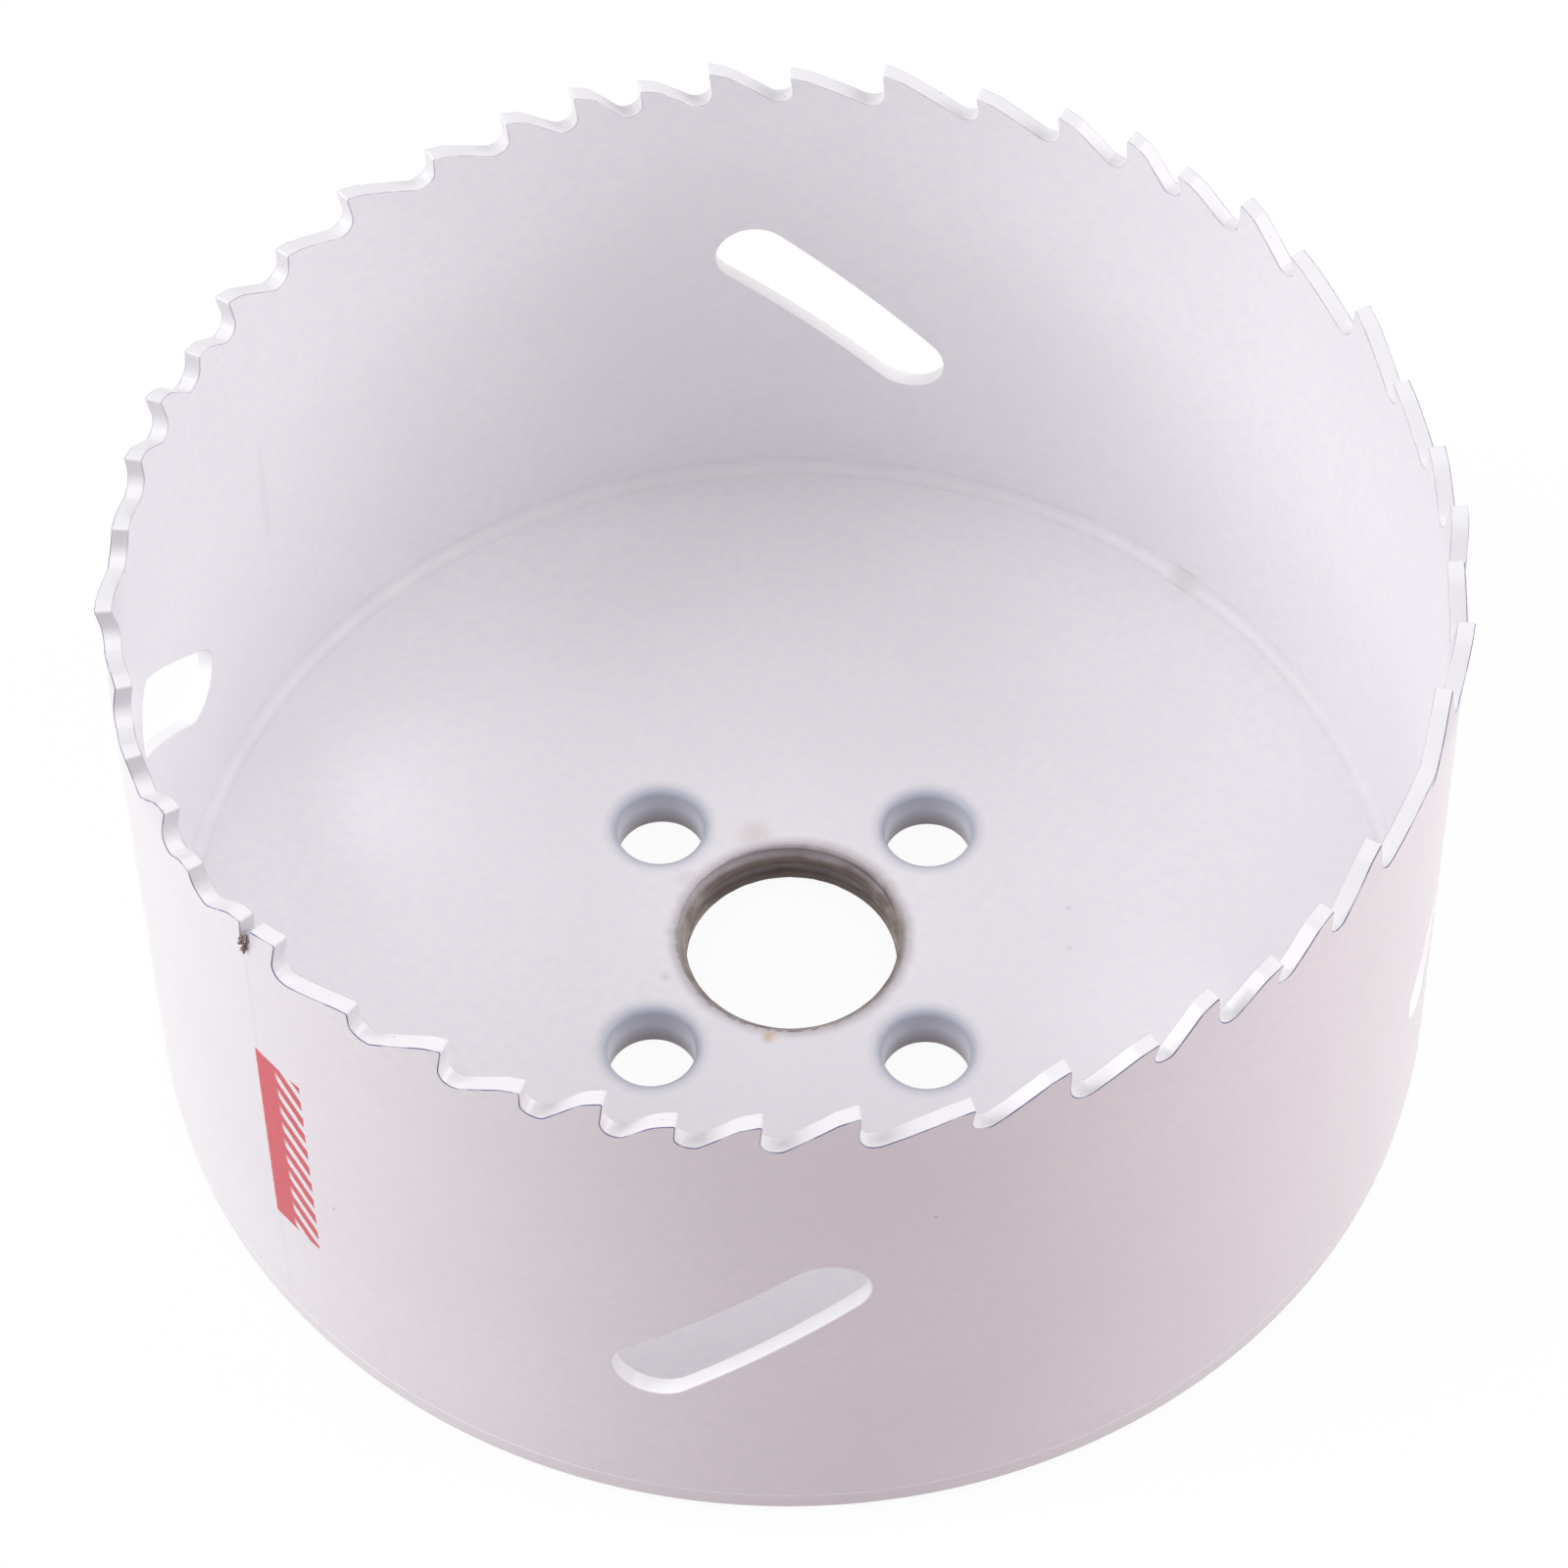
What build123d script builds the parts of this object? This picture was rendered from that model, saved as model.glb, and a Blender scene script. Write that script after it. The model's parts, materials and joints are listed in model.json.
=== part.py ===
from build123d import *
import os
from math import cos, degrees, pi, radians, sin, tan

# A bi-metal hole saw without its arbor: a rolled and toothed steel strip, a thick backing plate that
# closes the cup, and the weld bead that joins them.
# Frame: millimetres, +Z up. The cup stands on its backing plate at z = 0 with its teeth up, and
# its axis is the Z axis. Azimuths are counter-clockwise from +X, seen from above.

# ---------------------------------------------------------------- driving dimensions
CUT_DIAMETER = 83.0        # diameter of the hole that the set teeth cut
HEIGHT = 42.4              # base of the plate to the tooth tips
WALL = 1.1                 # thickness of the strip
TOOTH_SET = 0.35           # how far a set tooth leans out of the wall at its tip

# Teeth: groups of seven, with a pitch that varies between 4 and 6 teeth per inch
TOOTH_GROUPS = 7
GROUP_PITCHES = (6.35, 5.95, 5.25, 4.65, 4.30, 4.80, 5.55)   # along the middle of the strip
GROUP_SETS = (1, -1, 1, -1, 1, 0, -1)                        # outward, inward or straight
GULLET_DEPTH = 2.5         # tip level down to the gullet floor
GULLET_FLOOR = 1.05        # length of the gullet floor, before its rounding
GULLET_RADIUS = 0.85       # rounding at the foot of the rake face
FLANK_FOOT_RADIUS = 0.7    # rounding at the foot of the flank
RAKE_ANGLE = 5.0           # undercut of the rake face
LAND_LENGTH = 1.3          # flatter end of the flank, behind the tip
LAND_ANGLE = 19.0          # slope of that end
LAND_RADIUS = 2.0          # rounding between the flank and its end
RIM_BELOW_GULLET = 0.3     # plain wall between the gullet floors and the bend line of the set

# Butt joint that closes the strip. It lies in a narrow notch, just ahead of the last tip.
SEAM_AZIMUTH = -138.6      # azimuth of the last tip before the joint
SEAM_NOTCH_WIDTH = 0.5
SEAM_NOTCH_DEPTH = 1.7
SEAM_TOOTH_DROP = 0.7      # how far the cut tooth behind the joint starts below the tip level

# Chip slots through the wall, slanted, with round ends
SLOT_AZIMUTHS = (-93.0, -8.5, 87.0, 171.5)
SLOT_LENGTH = 19.3         # over both round ends
SLOT_WIDTH = 5.0
SLOT_SLANT = 43.5          # rise from the level, towards greater azimuth
SLOT_HEIGHT = 20.35        # base of the plate to the slot's centre

# Backing plate
PLATE_THICKNESS = 3.6
SHOULDER_HEIGHT = 2.2      # thickness of the rim that the strip stands on
RIM_TAPER = 5.0            # the rim narrows towards the base
RIM_EDGE_RADIUS = 0.9      # rounded lower edge
SPIGOT_CLEARANCE = 0.05    # gap between the plate's raised middle and the strip
THREAD_CREST_RADIUS = 7.0  # at the thread's crests; the 5/8 in - 18 standard has 7.18 to 7.34
BORE_CHAMFER = 0.7
PIN_HOLE_COUNT = 4
PIN_HOLE_RADIUS = 2.75
PIN_CIRCLE_RADIUS = 12.5
PIN_HOLE_PHASE = 45.0      # azimuth of the first pin hole
PIN_HOLE_EDGE = 0.5        # chamfer at both ends

# Weld bead in the inside corner
WELD_LEG = 0.95            # along the plate and up the strip

# ---------------------------------------------------------------- derived sizes
WALL_OUTER = CUT_DIAMETER / 2 - TOOTH_SET
WALL_INNER = WALL_OUTER - WALL
WALL_MIDDLE = WALL_OUTER - WALL / 2
GULLET_LEVEL = HEIGHT - GULLET_DEPTH
RIM_LEVEL = GULLET_LEVEL - RIM_BELOW_GULLET
CUT_REACH = 2 * WALL       # how far a cutter runs past what it cuts
RADIUS_TOLERANCE = 0.01    # for picking out edges by their radius


def tip_positions():
    """Azimuth, pitch and set of every tooth, from the joint round to the joint, in degrees and mm."""
    circumference = 2 * pi * WALL_MIDDLE
    pitches = list(GROUP_PITCHES) * TOOTH_GROUPS
    sets = list(GROUP_SETS) * TOOTH_GROUPS
    # the joint shortens the last tooth of the last group to what is left of the circumference
    pitches[-1] = circumference - sum(pitches[:-1])
    order = [len(pitches) - 1] + list(range(len(pitches) - 1))
    teeth, arc = [], 0.0
    for index in order:
        arc += pitches[index]
        azimuth = SEAM_AZIMUTH + degrees(arc / WALL_MIDDLE)
        teeth.append((azimuth, pitches[index], sets[index]))
    return teeth


def gullet_outline(pitch):
    """Points of the gap between two tips. x = 0 is the tip behind it, x = pitch the tip ahead."""
    foot = -GULLET_DEPTH * tan(radians(RAKE_ANGLE))
    land_drop = LAND_LENGTH * tan(radians(LAND_ANGLE))
    rake_top = (0, 0)
    rake_foot = (foot, -GULLET_DEPTH)
    flank_foot = (GULLET_FLOOR, -GULLET_DEPTH)
    land_start = (pitch - LAND_LENGTH, -land_drop)
    land_end = (pitch, 0)
    return rake_top, rake_foot, flank_foot, land_start, land_end


def gullet_sketch(pitch):
    """Closed outline of a gullet, with its three roundings."""
    rake_top, rake_foot, flank_foot, land_start, land_end = gullet_outline(pitch)
    outline = make_face(Polyline(
        rake_top, rake_foot, flank_foot, land_start, land_end,
        (pitch, CUT_REACH), (0, CUT_REACH), close=True))

    def corner(point):
        return outline.vertices().sort_by_distance((point[0], point[1], 0))[0]

    outline = fillet(corner(rake_foot), GULLET_RADIUS)
    outline = fillet(corner(flank_foot), FLANK_FOOT_RADIUS)
    outline = fillet(corner(land_start), LAND_RADIUS)
    return outline


def seam_sketch(pitch):
    """Closed outline of the narrow notch at the joint, with the cut tooth's flank behind it."""
    foot = -SEAM_NOTCH_DEPTH * tan(radians(RAKE_ANGLE))
    return make_face(Polyline(
        (0, 0), (foot, -SEAM_NOTCH_DEPTH), (SEAM_NOTCH_WIDTH, -SEAM_NOTCH_DEPTH),
        (SEAM_NOTCH_WIDTH, -SEAM_TOOTH_DROP), (pitch, 0),
        (pitch, CUT_REACH), (0, CUT_REACH), close=True))


def radial_cutter(outline, azimuth, level):
    """Outline pushed through the wall along the radius at an azimuth. Its y = 0 is at the level."""
    angle = radians(azimuth)
    outward = (cos(angle), sin(angle), 0)
    along_rim = (-sin(angle), cos(angle), 0)
    start = WALL_INNER - CUT_REACH
    plane = Plane(origin=(start * cos(angle), start * sin(angle), level), x_dir=along_rim, z_dir=outward)
    return extrude(plane * outline, amount=WALL + 2 * CUT_REACH)


def gullet_cutter(tip_azimuth, pitch, outline):
    """Cutter of the gullet between the tip behind and the tip at an azimuth."""
    middle = tip_azimuth - degrees(pitch / 2 / WALL_MIDDLE)
    chord_start = -WALL_MIDDLE * sin(pitch / 2 / WALL_MIDDLE)
    return radial_cutter(Pos(chord_start, 0) * outline, middle, HEIGHT)


def ring_section(points):
    """Closed face in the plane of the axis, from points of radius and height."""
    return make_face(Plane.XZ * Polyline(*points, close=True))


def tooth_block(start_azimuth, end_azimuth, lean):
    """Piece of wall from the rim level to the tips, leaning from the gullet floors upwards."""
    profile = ring_section([
        (WALL_INNER, RIM_LEVEL), (WALL_OUTER, RIM_LEVEL), (WALL_OUTER, GULLET_LEVEL),
        (WALL_OUTER + lean, HEIGHT), (WALL_INNER + lean, HEIGHT), (WALL_INNER, GULLET_LEVEL)])
    block = revolve(profile, Axis.Z, revolution_arc=end_azimuth - start_azimuth)
    return Rot(0, 0, start_azimuth) * block


def toothed_rim():
    """Every tooth as its own leaning block, cut by the gullets behind it and ahead of it."""
    teeth = tip_positions()
    border_lag = degrees(GULLET_FLOOR / 2 / WALL_MIDDLE)
    seam_lag = degrees(SEAM_NOTCH_WIDTH / 2 / WALL_MIDDLE)
    cutters, borders = [], []
    for number, (azimuth, pitch, _) in enumerate(teeth):
        outline = gullet_sketch(pitch) if number else seam_sketch(pitch)
        behind = azimuth - degrees(pitch / WALL_MIDDLE)
        cutters.append(gullet_cutter(azimuth, pitch, outline))
        borders.append(behind + (border_lag if number else seam_lag))
    blocks = []
    for number, (_, _, side) in enumerate(teeth):
        ahead = (number + 1) % len(teeth)
        turn = 360.0 if ahead == 0 else 0.0
        block = tooth_block(borders[number], borders[ahead] + turn, side * TOOTH_SET)
        blocks.append(block - cutters[number] - cutters[ahead])
    return blocks


def slot_cutter(azimuth):
    """Slanted slot with round ends, pushed through the wall."""
    outline = Rot(0, 0, SLOT_SLANT) * SlotOverall(SLOT_LENGTH, SLOT_WIDTH)
    return radial_cutter(outline, azimuth, SLOT_HEIGHT)


def make_toothed_band():
    """Rolled strip with its teeth and its chip slots."""
    wall_height = RIM_LEVEL - SHOULDER_HEIGHT
    tube = Cylinder(WALL_OUTER, wall_height, align=(Align.CENTER, Align.CENTER, Align.MIN))
    tube -= Cylinder(WALL_INNER, wall_height, align=(Align.CENTER, Align.CENTER, Align.MIN))
    tube = Pos(0, 0, SHOULDER_HEIGHT) * tube
    tube -= [slot_cutter(azimuth) for azimuth in SLOT_AZIMUTHS]
    return tube + toothed_rim()


def hole_edges(plate, radius):
    """Both round edges of every hole of a radius."""
    rims = plate.edges().filter_by(GeomType.CIRCLE)
    return rims.filter_by(lambda edge: abs(edge.radius - radius) < RADIUS_TOLERANCE)


def make_backing_plate():
    """Disc with a tapered rim, a raised middle that fits the strip, a bore and the pin holes."""
    spigot_radius = WALL_INNER - SPIGOT_CLEARANCE
    base_radius = WALL_OUTER - SHOULDER_HEIGHT * tan(radians(RIM_TAPER))
    section = ring_section([
        (0, 0), (base_radius, 0), (WALL_OUTER, SHOULDER_HEIGHT), (spigot_radius, SHOULDER_HEIGHT),
        (spigot_radius, PLATE_THICKNESS), (0, PLATE_THICKNESS)])
    base_corner = section.vertices().sort_by_distance((base_radius, 0, 0))[0]
    plate = revolve(fillet(base_corner, RIM_EDGE_RADIUS), Axis.Z)
    drill_length = 2 * PLATE_THICKNESS + CUT_REACH
    plate -= Cylinder(THREAD_CREST_RADIUS, drill_length)
    pins = PolarLocations(PIN_CIRCLE_RADIUS, PIN_HOLE_COUNT, start_angle=PIN_HOLE_PHASE)
    plate -= [place * Cylinder(PIN_HOLE_RADIUS, drill_length) for place in pins]
    plate = chamfer(hole_edges(plate, THREAD_CREST_RADIUS), BORE_CHAMFER)
    return chamfer(hole_edges(plate, PIN_HOLE_RADIUS), PIN_HOLE_EDGE)


def make_corner_weld():
    """Bead round the inside corner, between the strip and the plate's upper face."""
    section = ring_section([
        (WALL_INNER - WELD_LEG, PLATE_THICKNESS), (WALL_INNER, PLATE_THICKNESS),
        (WALL_INNER, PLATE_THICKNESS + WELD_LEG)])
    return revolve(section, Axis.Z)


def main():
    os.makedirs("parts", exist_ok=True)
    export_step(make_toothed_band(), "parts/toothed_band.step")
    export_step(make_backing_plate(), "parts/backing_plate.step")
    export_step(make_corner_weld(), "parts/corner_weld.step")


main()
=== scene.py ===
import json
import logging
import math
from dataclasses import dataclass, field
from enum import Enum
from typing import Any, Callable, Sequence, Union

import bmesh
import bpy
import numpy as np
from mathutils import Matrix, Vector
from mathutils.geometry import delaunay_2d_cdt

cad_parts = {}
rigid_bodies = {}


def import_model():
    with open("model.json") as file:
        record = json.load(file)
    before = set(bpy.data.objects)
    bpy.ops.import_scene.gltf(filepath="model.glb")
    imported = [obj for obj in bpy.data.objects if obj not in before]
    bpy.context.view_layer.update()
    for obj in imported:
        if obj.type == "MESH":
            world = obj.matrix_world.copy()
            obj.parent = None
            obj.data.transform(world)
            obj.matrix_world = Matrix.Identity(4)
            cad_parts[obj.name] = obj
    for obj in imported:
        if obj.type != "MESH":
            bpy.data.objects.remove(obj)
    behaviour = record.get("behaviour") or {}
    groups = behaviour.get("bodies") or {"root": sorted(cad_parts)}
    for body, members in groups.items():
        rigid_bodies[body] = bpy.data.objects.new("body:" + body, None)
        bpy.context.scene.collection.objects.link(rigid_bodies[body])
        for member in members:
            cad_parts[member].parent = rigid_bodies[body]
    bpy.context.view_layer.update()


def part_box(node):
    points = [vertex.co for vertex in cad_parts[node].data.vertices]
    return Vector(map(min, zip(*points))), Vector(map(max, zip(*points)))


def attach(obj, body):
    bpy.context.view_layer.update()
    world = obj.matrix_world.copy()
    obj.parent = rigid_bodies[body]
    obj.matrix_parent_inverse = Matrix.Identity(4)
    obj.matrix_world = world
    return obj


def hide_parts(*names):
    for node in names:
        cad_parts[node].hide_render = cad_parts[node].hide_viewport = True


# Looks of a bi-metal hole saw: a painted toothed band, its backing plate with a threaded bore, the weld
# bead between them and the burnt flash at the strip's butt joint.
#
# Metres, +Z up. The saw stands on its backing plate at z = 0, with its axis on Z. Azimuths are in degrees,
# counter-clockwise from +X, seen from above; those of the lamps and the camera are said at direction().

LOG = logging.getLogger("hole_saw")
MM = 0.001
TURN = 2 * math.pi
Point = tuple[float, float]
Colour = tuple[float, float, float]
BODY = "root"
SPIGOT_CLEARANCE = 0.05 * MM    # gap between the plate's raised middle and the strip
FLASH_TURN = 0.35               # degrees from the last tip to the middle of the burnt flash
STUDIO_TARGET = (-0.0002981, 0.0000581, 0.0199578)
LONGEST_LINE = 1.0 * MM         # longest straight stretch between two points of an outline
LEAST_MITRE = 0.6               # keeps a sharp corner's offset from running away
MERGE_REACH = 0.0005 * MM       # points this close are one
NEAR = 1e-9                     # lengths this close are equal


# ---------------------------------------------------------------- node graphs
class Wire:
    """A socket's value in a node graph, with Python's operators on it."""

    def __init__(self, graph: "NodeGraph", socket: bpy.types.NodeSocket) -> None:
        self.graph = graph
        self.socket = socket

    def _math(self, operation: str, *values: "Value") -> "Wire":
        """Adds a Math node with these values."""
        return self.graph.node("ShaderNodeMath", {"operation": operation}, dict(enumerate(values)))[0]

    def __add__(self, other: "Value") -> "Wire":
        return self._math("ADD", self, other)

    def __sub__(self, other: "Value") -> "Wire":
        return self._math("SUBTRACT", self, other)

    def __rsub__(self, other: "Value") -> "Wire":
        return self._math("SUBTRACT", other, self)

    def __mul__(self, other: "Value") -> "Wire":
        return self._math("MULTIPLY", self, other)

    def __truediv__(self, other: "Value") -> "Wire":
        return self._math("DIVIDE", self, other)

    def __gt__(self, other: "Value") -> "Wire":
        return self._math("GREATER_THAN", self, other)

    def __lt__(self, other: "Value") -> "Wire":
        return self._math("LESS_THAN", self, other)

    def __abs__(self) -> "Wire":
        return self._math("ABSOLUTE", self)

    __radd__ = __add__
    __rmul__ = __mul__

    def fraction(self) -> "Wire":
        """The part of the value after its whole number."""
        return self._math("FRACT", self)

    def sine(self) -> "Wire":
        """Sine of an angle in radians."""
        return self._math("SINE", self)

    def cosine(self) -> "Wire":
        """Cosine of an angle in radians."""
        return self._math("COSINE", self)

    def largest(self, other: "Value") -> "Wire":
        """The larger of two values."""
        return self._math("MAXIMUM", self, other)

    def smallest(self, other: "Value") -> "Wire":
        """The smaller of two values."""
        return self._math("MINIMUM", self, other)

    def _mapped(self, curve: str, start: "Value", end: "Value") -> "Wire":
        """Maps start to 0 and end to 1 along a curve, and holds those values beyond them."""
        settings = {"interpolation_type": curve, "clamp": True}
        inputs = {0: self, 1: start, 2: end, 3: 0.0, 4: 1.0}
        return self.graph.node("ShaderNodeMapRange", settings, inputs)[0]

    def ramp(self, start: "Value", end: "Value") -> "Wire":
        """0 before start, 1 after end and straight between them; start may lie above end."""
        return self._mapped("LINEAR", start, end)

    def ease(self, start: "Value", end: "Value") -> "Wire":
        """0 before start, 1 after end and an S-curve between them; start may lie above end."""
        return self._mapped("SMOOTHSTEP", start, end)

    def within(self, low: float, high: float, soft: float) -> "Wire":
        """1 between low and high, fading to 0 over the soft width at both ends."""
        return self.ease(low - soft, low) * self.ease(high + soft, high)


Value = Union[Wire, float, int, tuple, bpy.types.ID]


class MadeNode:
    """A node of a graph; its outputs are read by name or number."""

    def __init__(self, graph: "NodeGraph", node: bpy.types.Node) -> None:
        self.graph = graph
        self.node = node

    def __getitem__(self, key: Union[str, int]) -> Wire:
        return Wire(self.graph, self.node.outputs[key])


class NodeGraph:
    """A node tree with one way of adding nodes to it."""

    def __init__(self, tree: bpy.types.NodeTree) -> None:
        self.tree = tree

    def node(self, kind: str, settings: Union[dict, None] = None,
             inputs: Union[dict, None] = None) -> MadeNode:
        """Adds a node.

        Args:
            kind: the node's type.
            settings: its properties, set before its sockets.
            inputs: values or wires for its input sockets, by name or number.

        Returns:
            The node, for its outputs.
        """
        made = self.tree.nodes.new(kind)
        for name, value in (settings or {}).items():
            setattr(made, name, value)
        for key, value in (inputs or {}).items():
            if isinstance(value, Wire):
                self.tree.links.new(value.socket, made.inputs[key])
            else:
                made.inputs[key].default_value = value
        return MadeNode(self, made)

    def split(self, vector: Wire) -> tuple[Wire, Wire, Wire]:
        """X, Y and Z of a vector."""
        parts = self.node("ShaderNodeSeparateXYZ", None, {0: vector})
        return parts[0], parts[1], parts[2]

    def vector(self, x: Value, y: Value, z: Value) -> Wire:
        """A vector from three numbers."""
        return self.node("ShaderNodeCombineXYZ", None, {0: x, 1: y, 2: z})[0]

    def turn_of(self, x: Wire, y: Wire) -> Wire:
        """Angle of a place round the axis from +X, in radians."""
        return self.node("ShaderNodeMath", {"operation": "ARCTAN2"}, {0: y, 1: x})[0]

    def seen(self) -> Wire:
        """1 for rays from the camera, in reflections and through glass, and 0 for light."""
        path = self.node("ShaderNodeLightPath")
        return path["Is Camera Ray"].largest(path["Is Glossy Ray"]).largest(path["Is Transmission Ray"])


class FinishGraph(NodeGraph):
    """The node graph of a material, with the patterns that the finishes share."""

    SPECK_CORE = 0.3    # share of a speck's radius that is full strength

    def __init__(self, name: str) -> None:
        self.material = bpy.data.materials.new(name)
        self.material.use_nodes = True
        super().__init__(self.material.node_tree)
        self.tree.nodes.clear()
        self.place = self.node("ShaderNodeTexCoord")["Object"]
        self.x, self.y, self.z = self.split(self.place)

    def noise(self, size: float, detail: float = 3.0, stretch: tuple = (1.0, 1.0, 1.0),
              shift: float = 0.0) -> Wire:
        """Noise from about 0.25 to 0.75, with blobs of a size in metres.

        Args:
            size: width of a blob.
            detail: octaves.
            stretch: how much finer the pattern is along each axis.
            shift: moves the pattern, so that two of them differ.
        """
        moved = self.node("ShaderNodeMapping", None, {0: self.place, 1: (shift, shift, shift), 3: stretch})
        inputs = {"Vector": moved[0], "Scale": 1 / size, "Detail": detail}
        return self.node("ShaderNodeTexNoise", {"noise_dimensions": "3D"}, inputs)[0]

    def cells(self, size: float, shift: float = 0.0) -> MadeNode:
        """Voronoi cells of a width in metres; Distance is in cell widths, Color is random to each cell."""
        moved = self.node("ShaderNodeMapping", None, {0: self.place, 1: (shift, shift, shift)})
        return self.node("ShaderNodeTexVoronoi", {"feature": "F1"}, {"Vector": moved[0], "Scale": 1 / size})

    def specks(self, spacing: float, radius: float, share: float, shift: float = 0.0) -> Wire:
        """Sparse round dots.

        Args:
            spacing: width of the cells that may each hold one.
            radius: a dot's largest radius.
            share: share of the cells that hold one.
            shift: moves the pattern.

        Returns:
            1 in the middle of a dot, 0 outside.
        """
        cells = self.cells(spacing, shift)
        chance = self.split(cells["Color"])[0]
        dot = cells["Distance"].ramp(radius / spacing, self.SPECK_CORE * radius / spacing)
        return dot * (chance < share)

    def radius(self) -> Wire:
        """Distance from the saw's axis."""
        across = self.vector(self.x, self.y, 0.0)
        return self.node("ShaderNodeVectorMath", {"operation": "LENGTH"}, {0: across})["Value"]

    def away_from(self, place: Wire, centre: tuple) -> Wire:
        """Distance of a place from a point."""
        return self.node("ShaderNodeVectorMath", {"operation": "DISTANCE"}, {0: place, 1: centre})["Value"]

    def ragged(self, size: float, detail: float, shift: float, reach: float) -> Wire:
        """Noise round zero, in metres, that roughens the outline of a mark.

        Args:
            size: width of a blob.
            detail: octaves.
            shift: moves the pattern.
            reach: what a whole unit of noise moves the outline by.
        """
        return (self.noise(size, detail, shift=shift) - 0.5) * reach

    def arc_from(self, azimuth: float, at_radius: float) -> Wire:
        """Length round the axis from an azimuth, for places within a quarter turn of it.

        Args:
            azimuth: in degrees.
            at_radius: radius on which the length is measured.
        """
        turned = self.node("ShaderNodeVectorRotate", {"rotation_type": "Z_AXIS"},
                           {"Vector": self.place, "Angle": -math.radians(azimuth)})[0]
        x, y, _ = self.split(turned)
        return self.turn_of(x, y) * at_radius

    def attribute(self, name: str) -> Wire:
        """A value stored on the mesh."""
        return self.node("ShaderNodeAttribute", {"attribute_name": name}, None)["Fac"]

    def mix(self, share: Value, first: Union[Wire, Colour], second: Union[Wire, Colour]) -> Wire:
        """Mixes two colours; a share of 1 gives the second."""
        made = self.node("ShaderNodeMix", {"data_type": "RGBA", "blend_type": "MIX"}, {"Factor": share})
        for socket, colour in ((6, first), (7, second)):
            if isinstance(colour, Wire):
                self.tree.links.new(colour.socket, made.node.inputs[socket])
            else:
                made.node.inputs[socket].default_value = (*colour, 1.0)
        return made[2]

    def bump(self, height: Wire, depth: float, under: Union[Wire, None] = None) -> Wire:
        """Normal of a surface raised by a height from 0 to 1 times a depth in metres."""
        inputs: dict = {"Height": height, "Distance": depth, "Strength": 1.0}
        if under is not None:
            inputs["Normal"] = under
        return self.node("ShaderNodeBump", None, inputs)["Normal"]

    def finish(self, sockets: dict) -> bpy.types.Material:
        """Ends the graph in a Principled shader with these sockets."""
        shader = self.node("ShaderNodeBsdfPrincipled", None, sockets)
        self.node("ShaderNodeOutputMaterial", None, {"Surface": shader[0]})
        return self.material


class ShapeGraph(NodeGraph):
    """A geometry-nodes tree with named inputs."""

    KINDS = {float: "NodeSocketFloat", int: "NodeSocketInt", bpy.types.Material: "NodeSocketMaterial"}

    def __init__(self, name: str) -> None:
        super().__init__(bpy.data.node_groups.new(name, "GeometryNodeTree"))
        self._add_socket("Geometry", "INPUT", "NodeSocketGeometry")
        self._add_socket("Geometry", "OUTPUT", "NodeSocketGeometry")
        self.values: dict[str, Any] = {}
        self.entry = self.node("NodeGroupInput")

    def _add_socket(self, name: str, side: str, kind: str) -> None:
        """Adds a socket to the tree's interface."""
        self.tree.interface.new_socket(name=name, in_out=side, socket_type=kind)

    def given(self, name: str, value: Any) -> Wire:
        """Adds a named input with the value that the modifier gives it."""
        kind = next(socket for form, socket in self.KINDS.items() if isinstance(value, form))
        self._add_socket(name, "INPUT", kind)
        self.values[name] = value
        return self.entry[name]

    @property
    def geometry(self) -> Wire:
        """The mesh that comes in."""
        return self.entry["Geometry"]

    def position(self) -> tuple[Wire, Wire, Wire]:
        """X, Y and Z of each point."""
        return self.split(self.node("GeometryNodeInputPosition")[0])

    def stored(self, name: str, kind: str = "FLOAT") -> Wire:
        """Reads an attribute of the mesh."""
        return self.node("GeometryNodeInputNamedAttribute", {"data_type": kind}, {"Name": name})["Attribute"]

    def place(self, geometry: Wire, position: Wire) -> Wire:
        """Moves every point to a position."""
        return self.node("GeometryNodeSetPosition", None, {"Geometry": geometry, "Position": position})[0]

    def close(self, geometry: Wire, material: bpy.types.Material) -> None:
        """Ends the tree: no instances are left and every face has the material."""
        real = self.node("GeometryNodeRealizeInstances", None, {"Geometry": geometry})[0]
        smooth = self.node("GeometryNodeSetShadeSmooth", None, {"Geometry": real})[0]
        painted = {"Geometry": smooth, "Material": self.given("Finish", material)}
        done = self.node("GeometryNodeSetMaterial", None, painted)[0]
        self.node("NodeGroupOutput", None, {"Geometry": done})

    def apply(self, piece: bpy.types.Object) -> None:
        """Runs the tree on a piece and leaves it as a plain mesh."""
        modifier = piece.modifiers.new("shape", "NODES")
        modifier.node_group = self.tree
        for item in self.tree.interface.items_tree:
            if item.item_type == "SOCKET" and item.in_out == "INPUT" and item.name in self.values:
                modifier[item.identifier] = self.values[item.name]
        bpy.context.view_layer.update()
        evaluated = piece.evaluated_get(bpy.context.evaluated_depsgraph_get())
        mesh = bpy.data.meshes.new_from_object(evaluated)
        piece.modifiers.clear()
        old, piece.data = piece.data, mesh
        bpy.data.meshes.remove(old)
        mesh.name = piece.name


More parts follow.
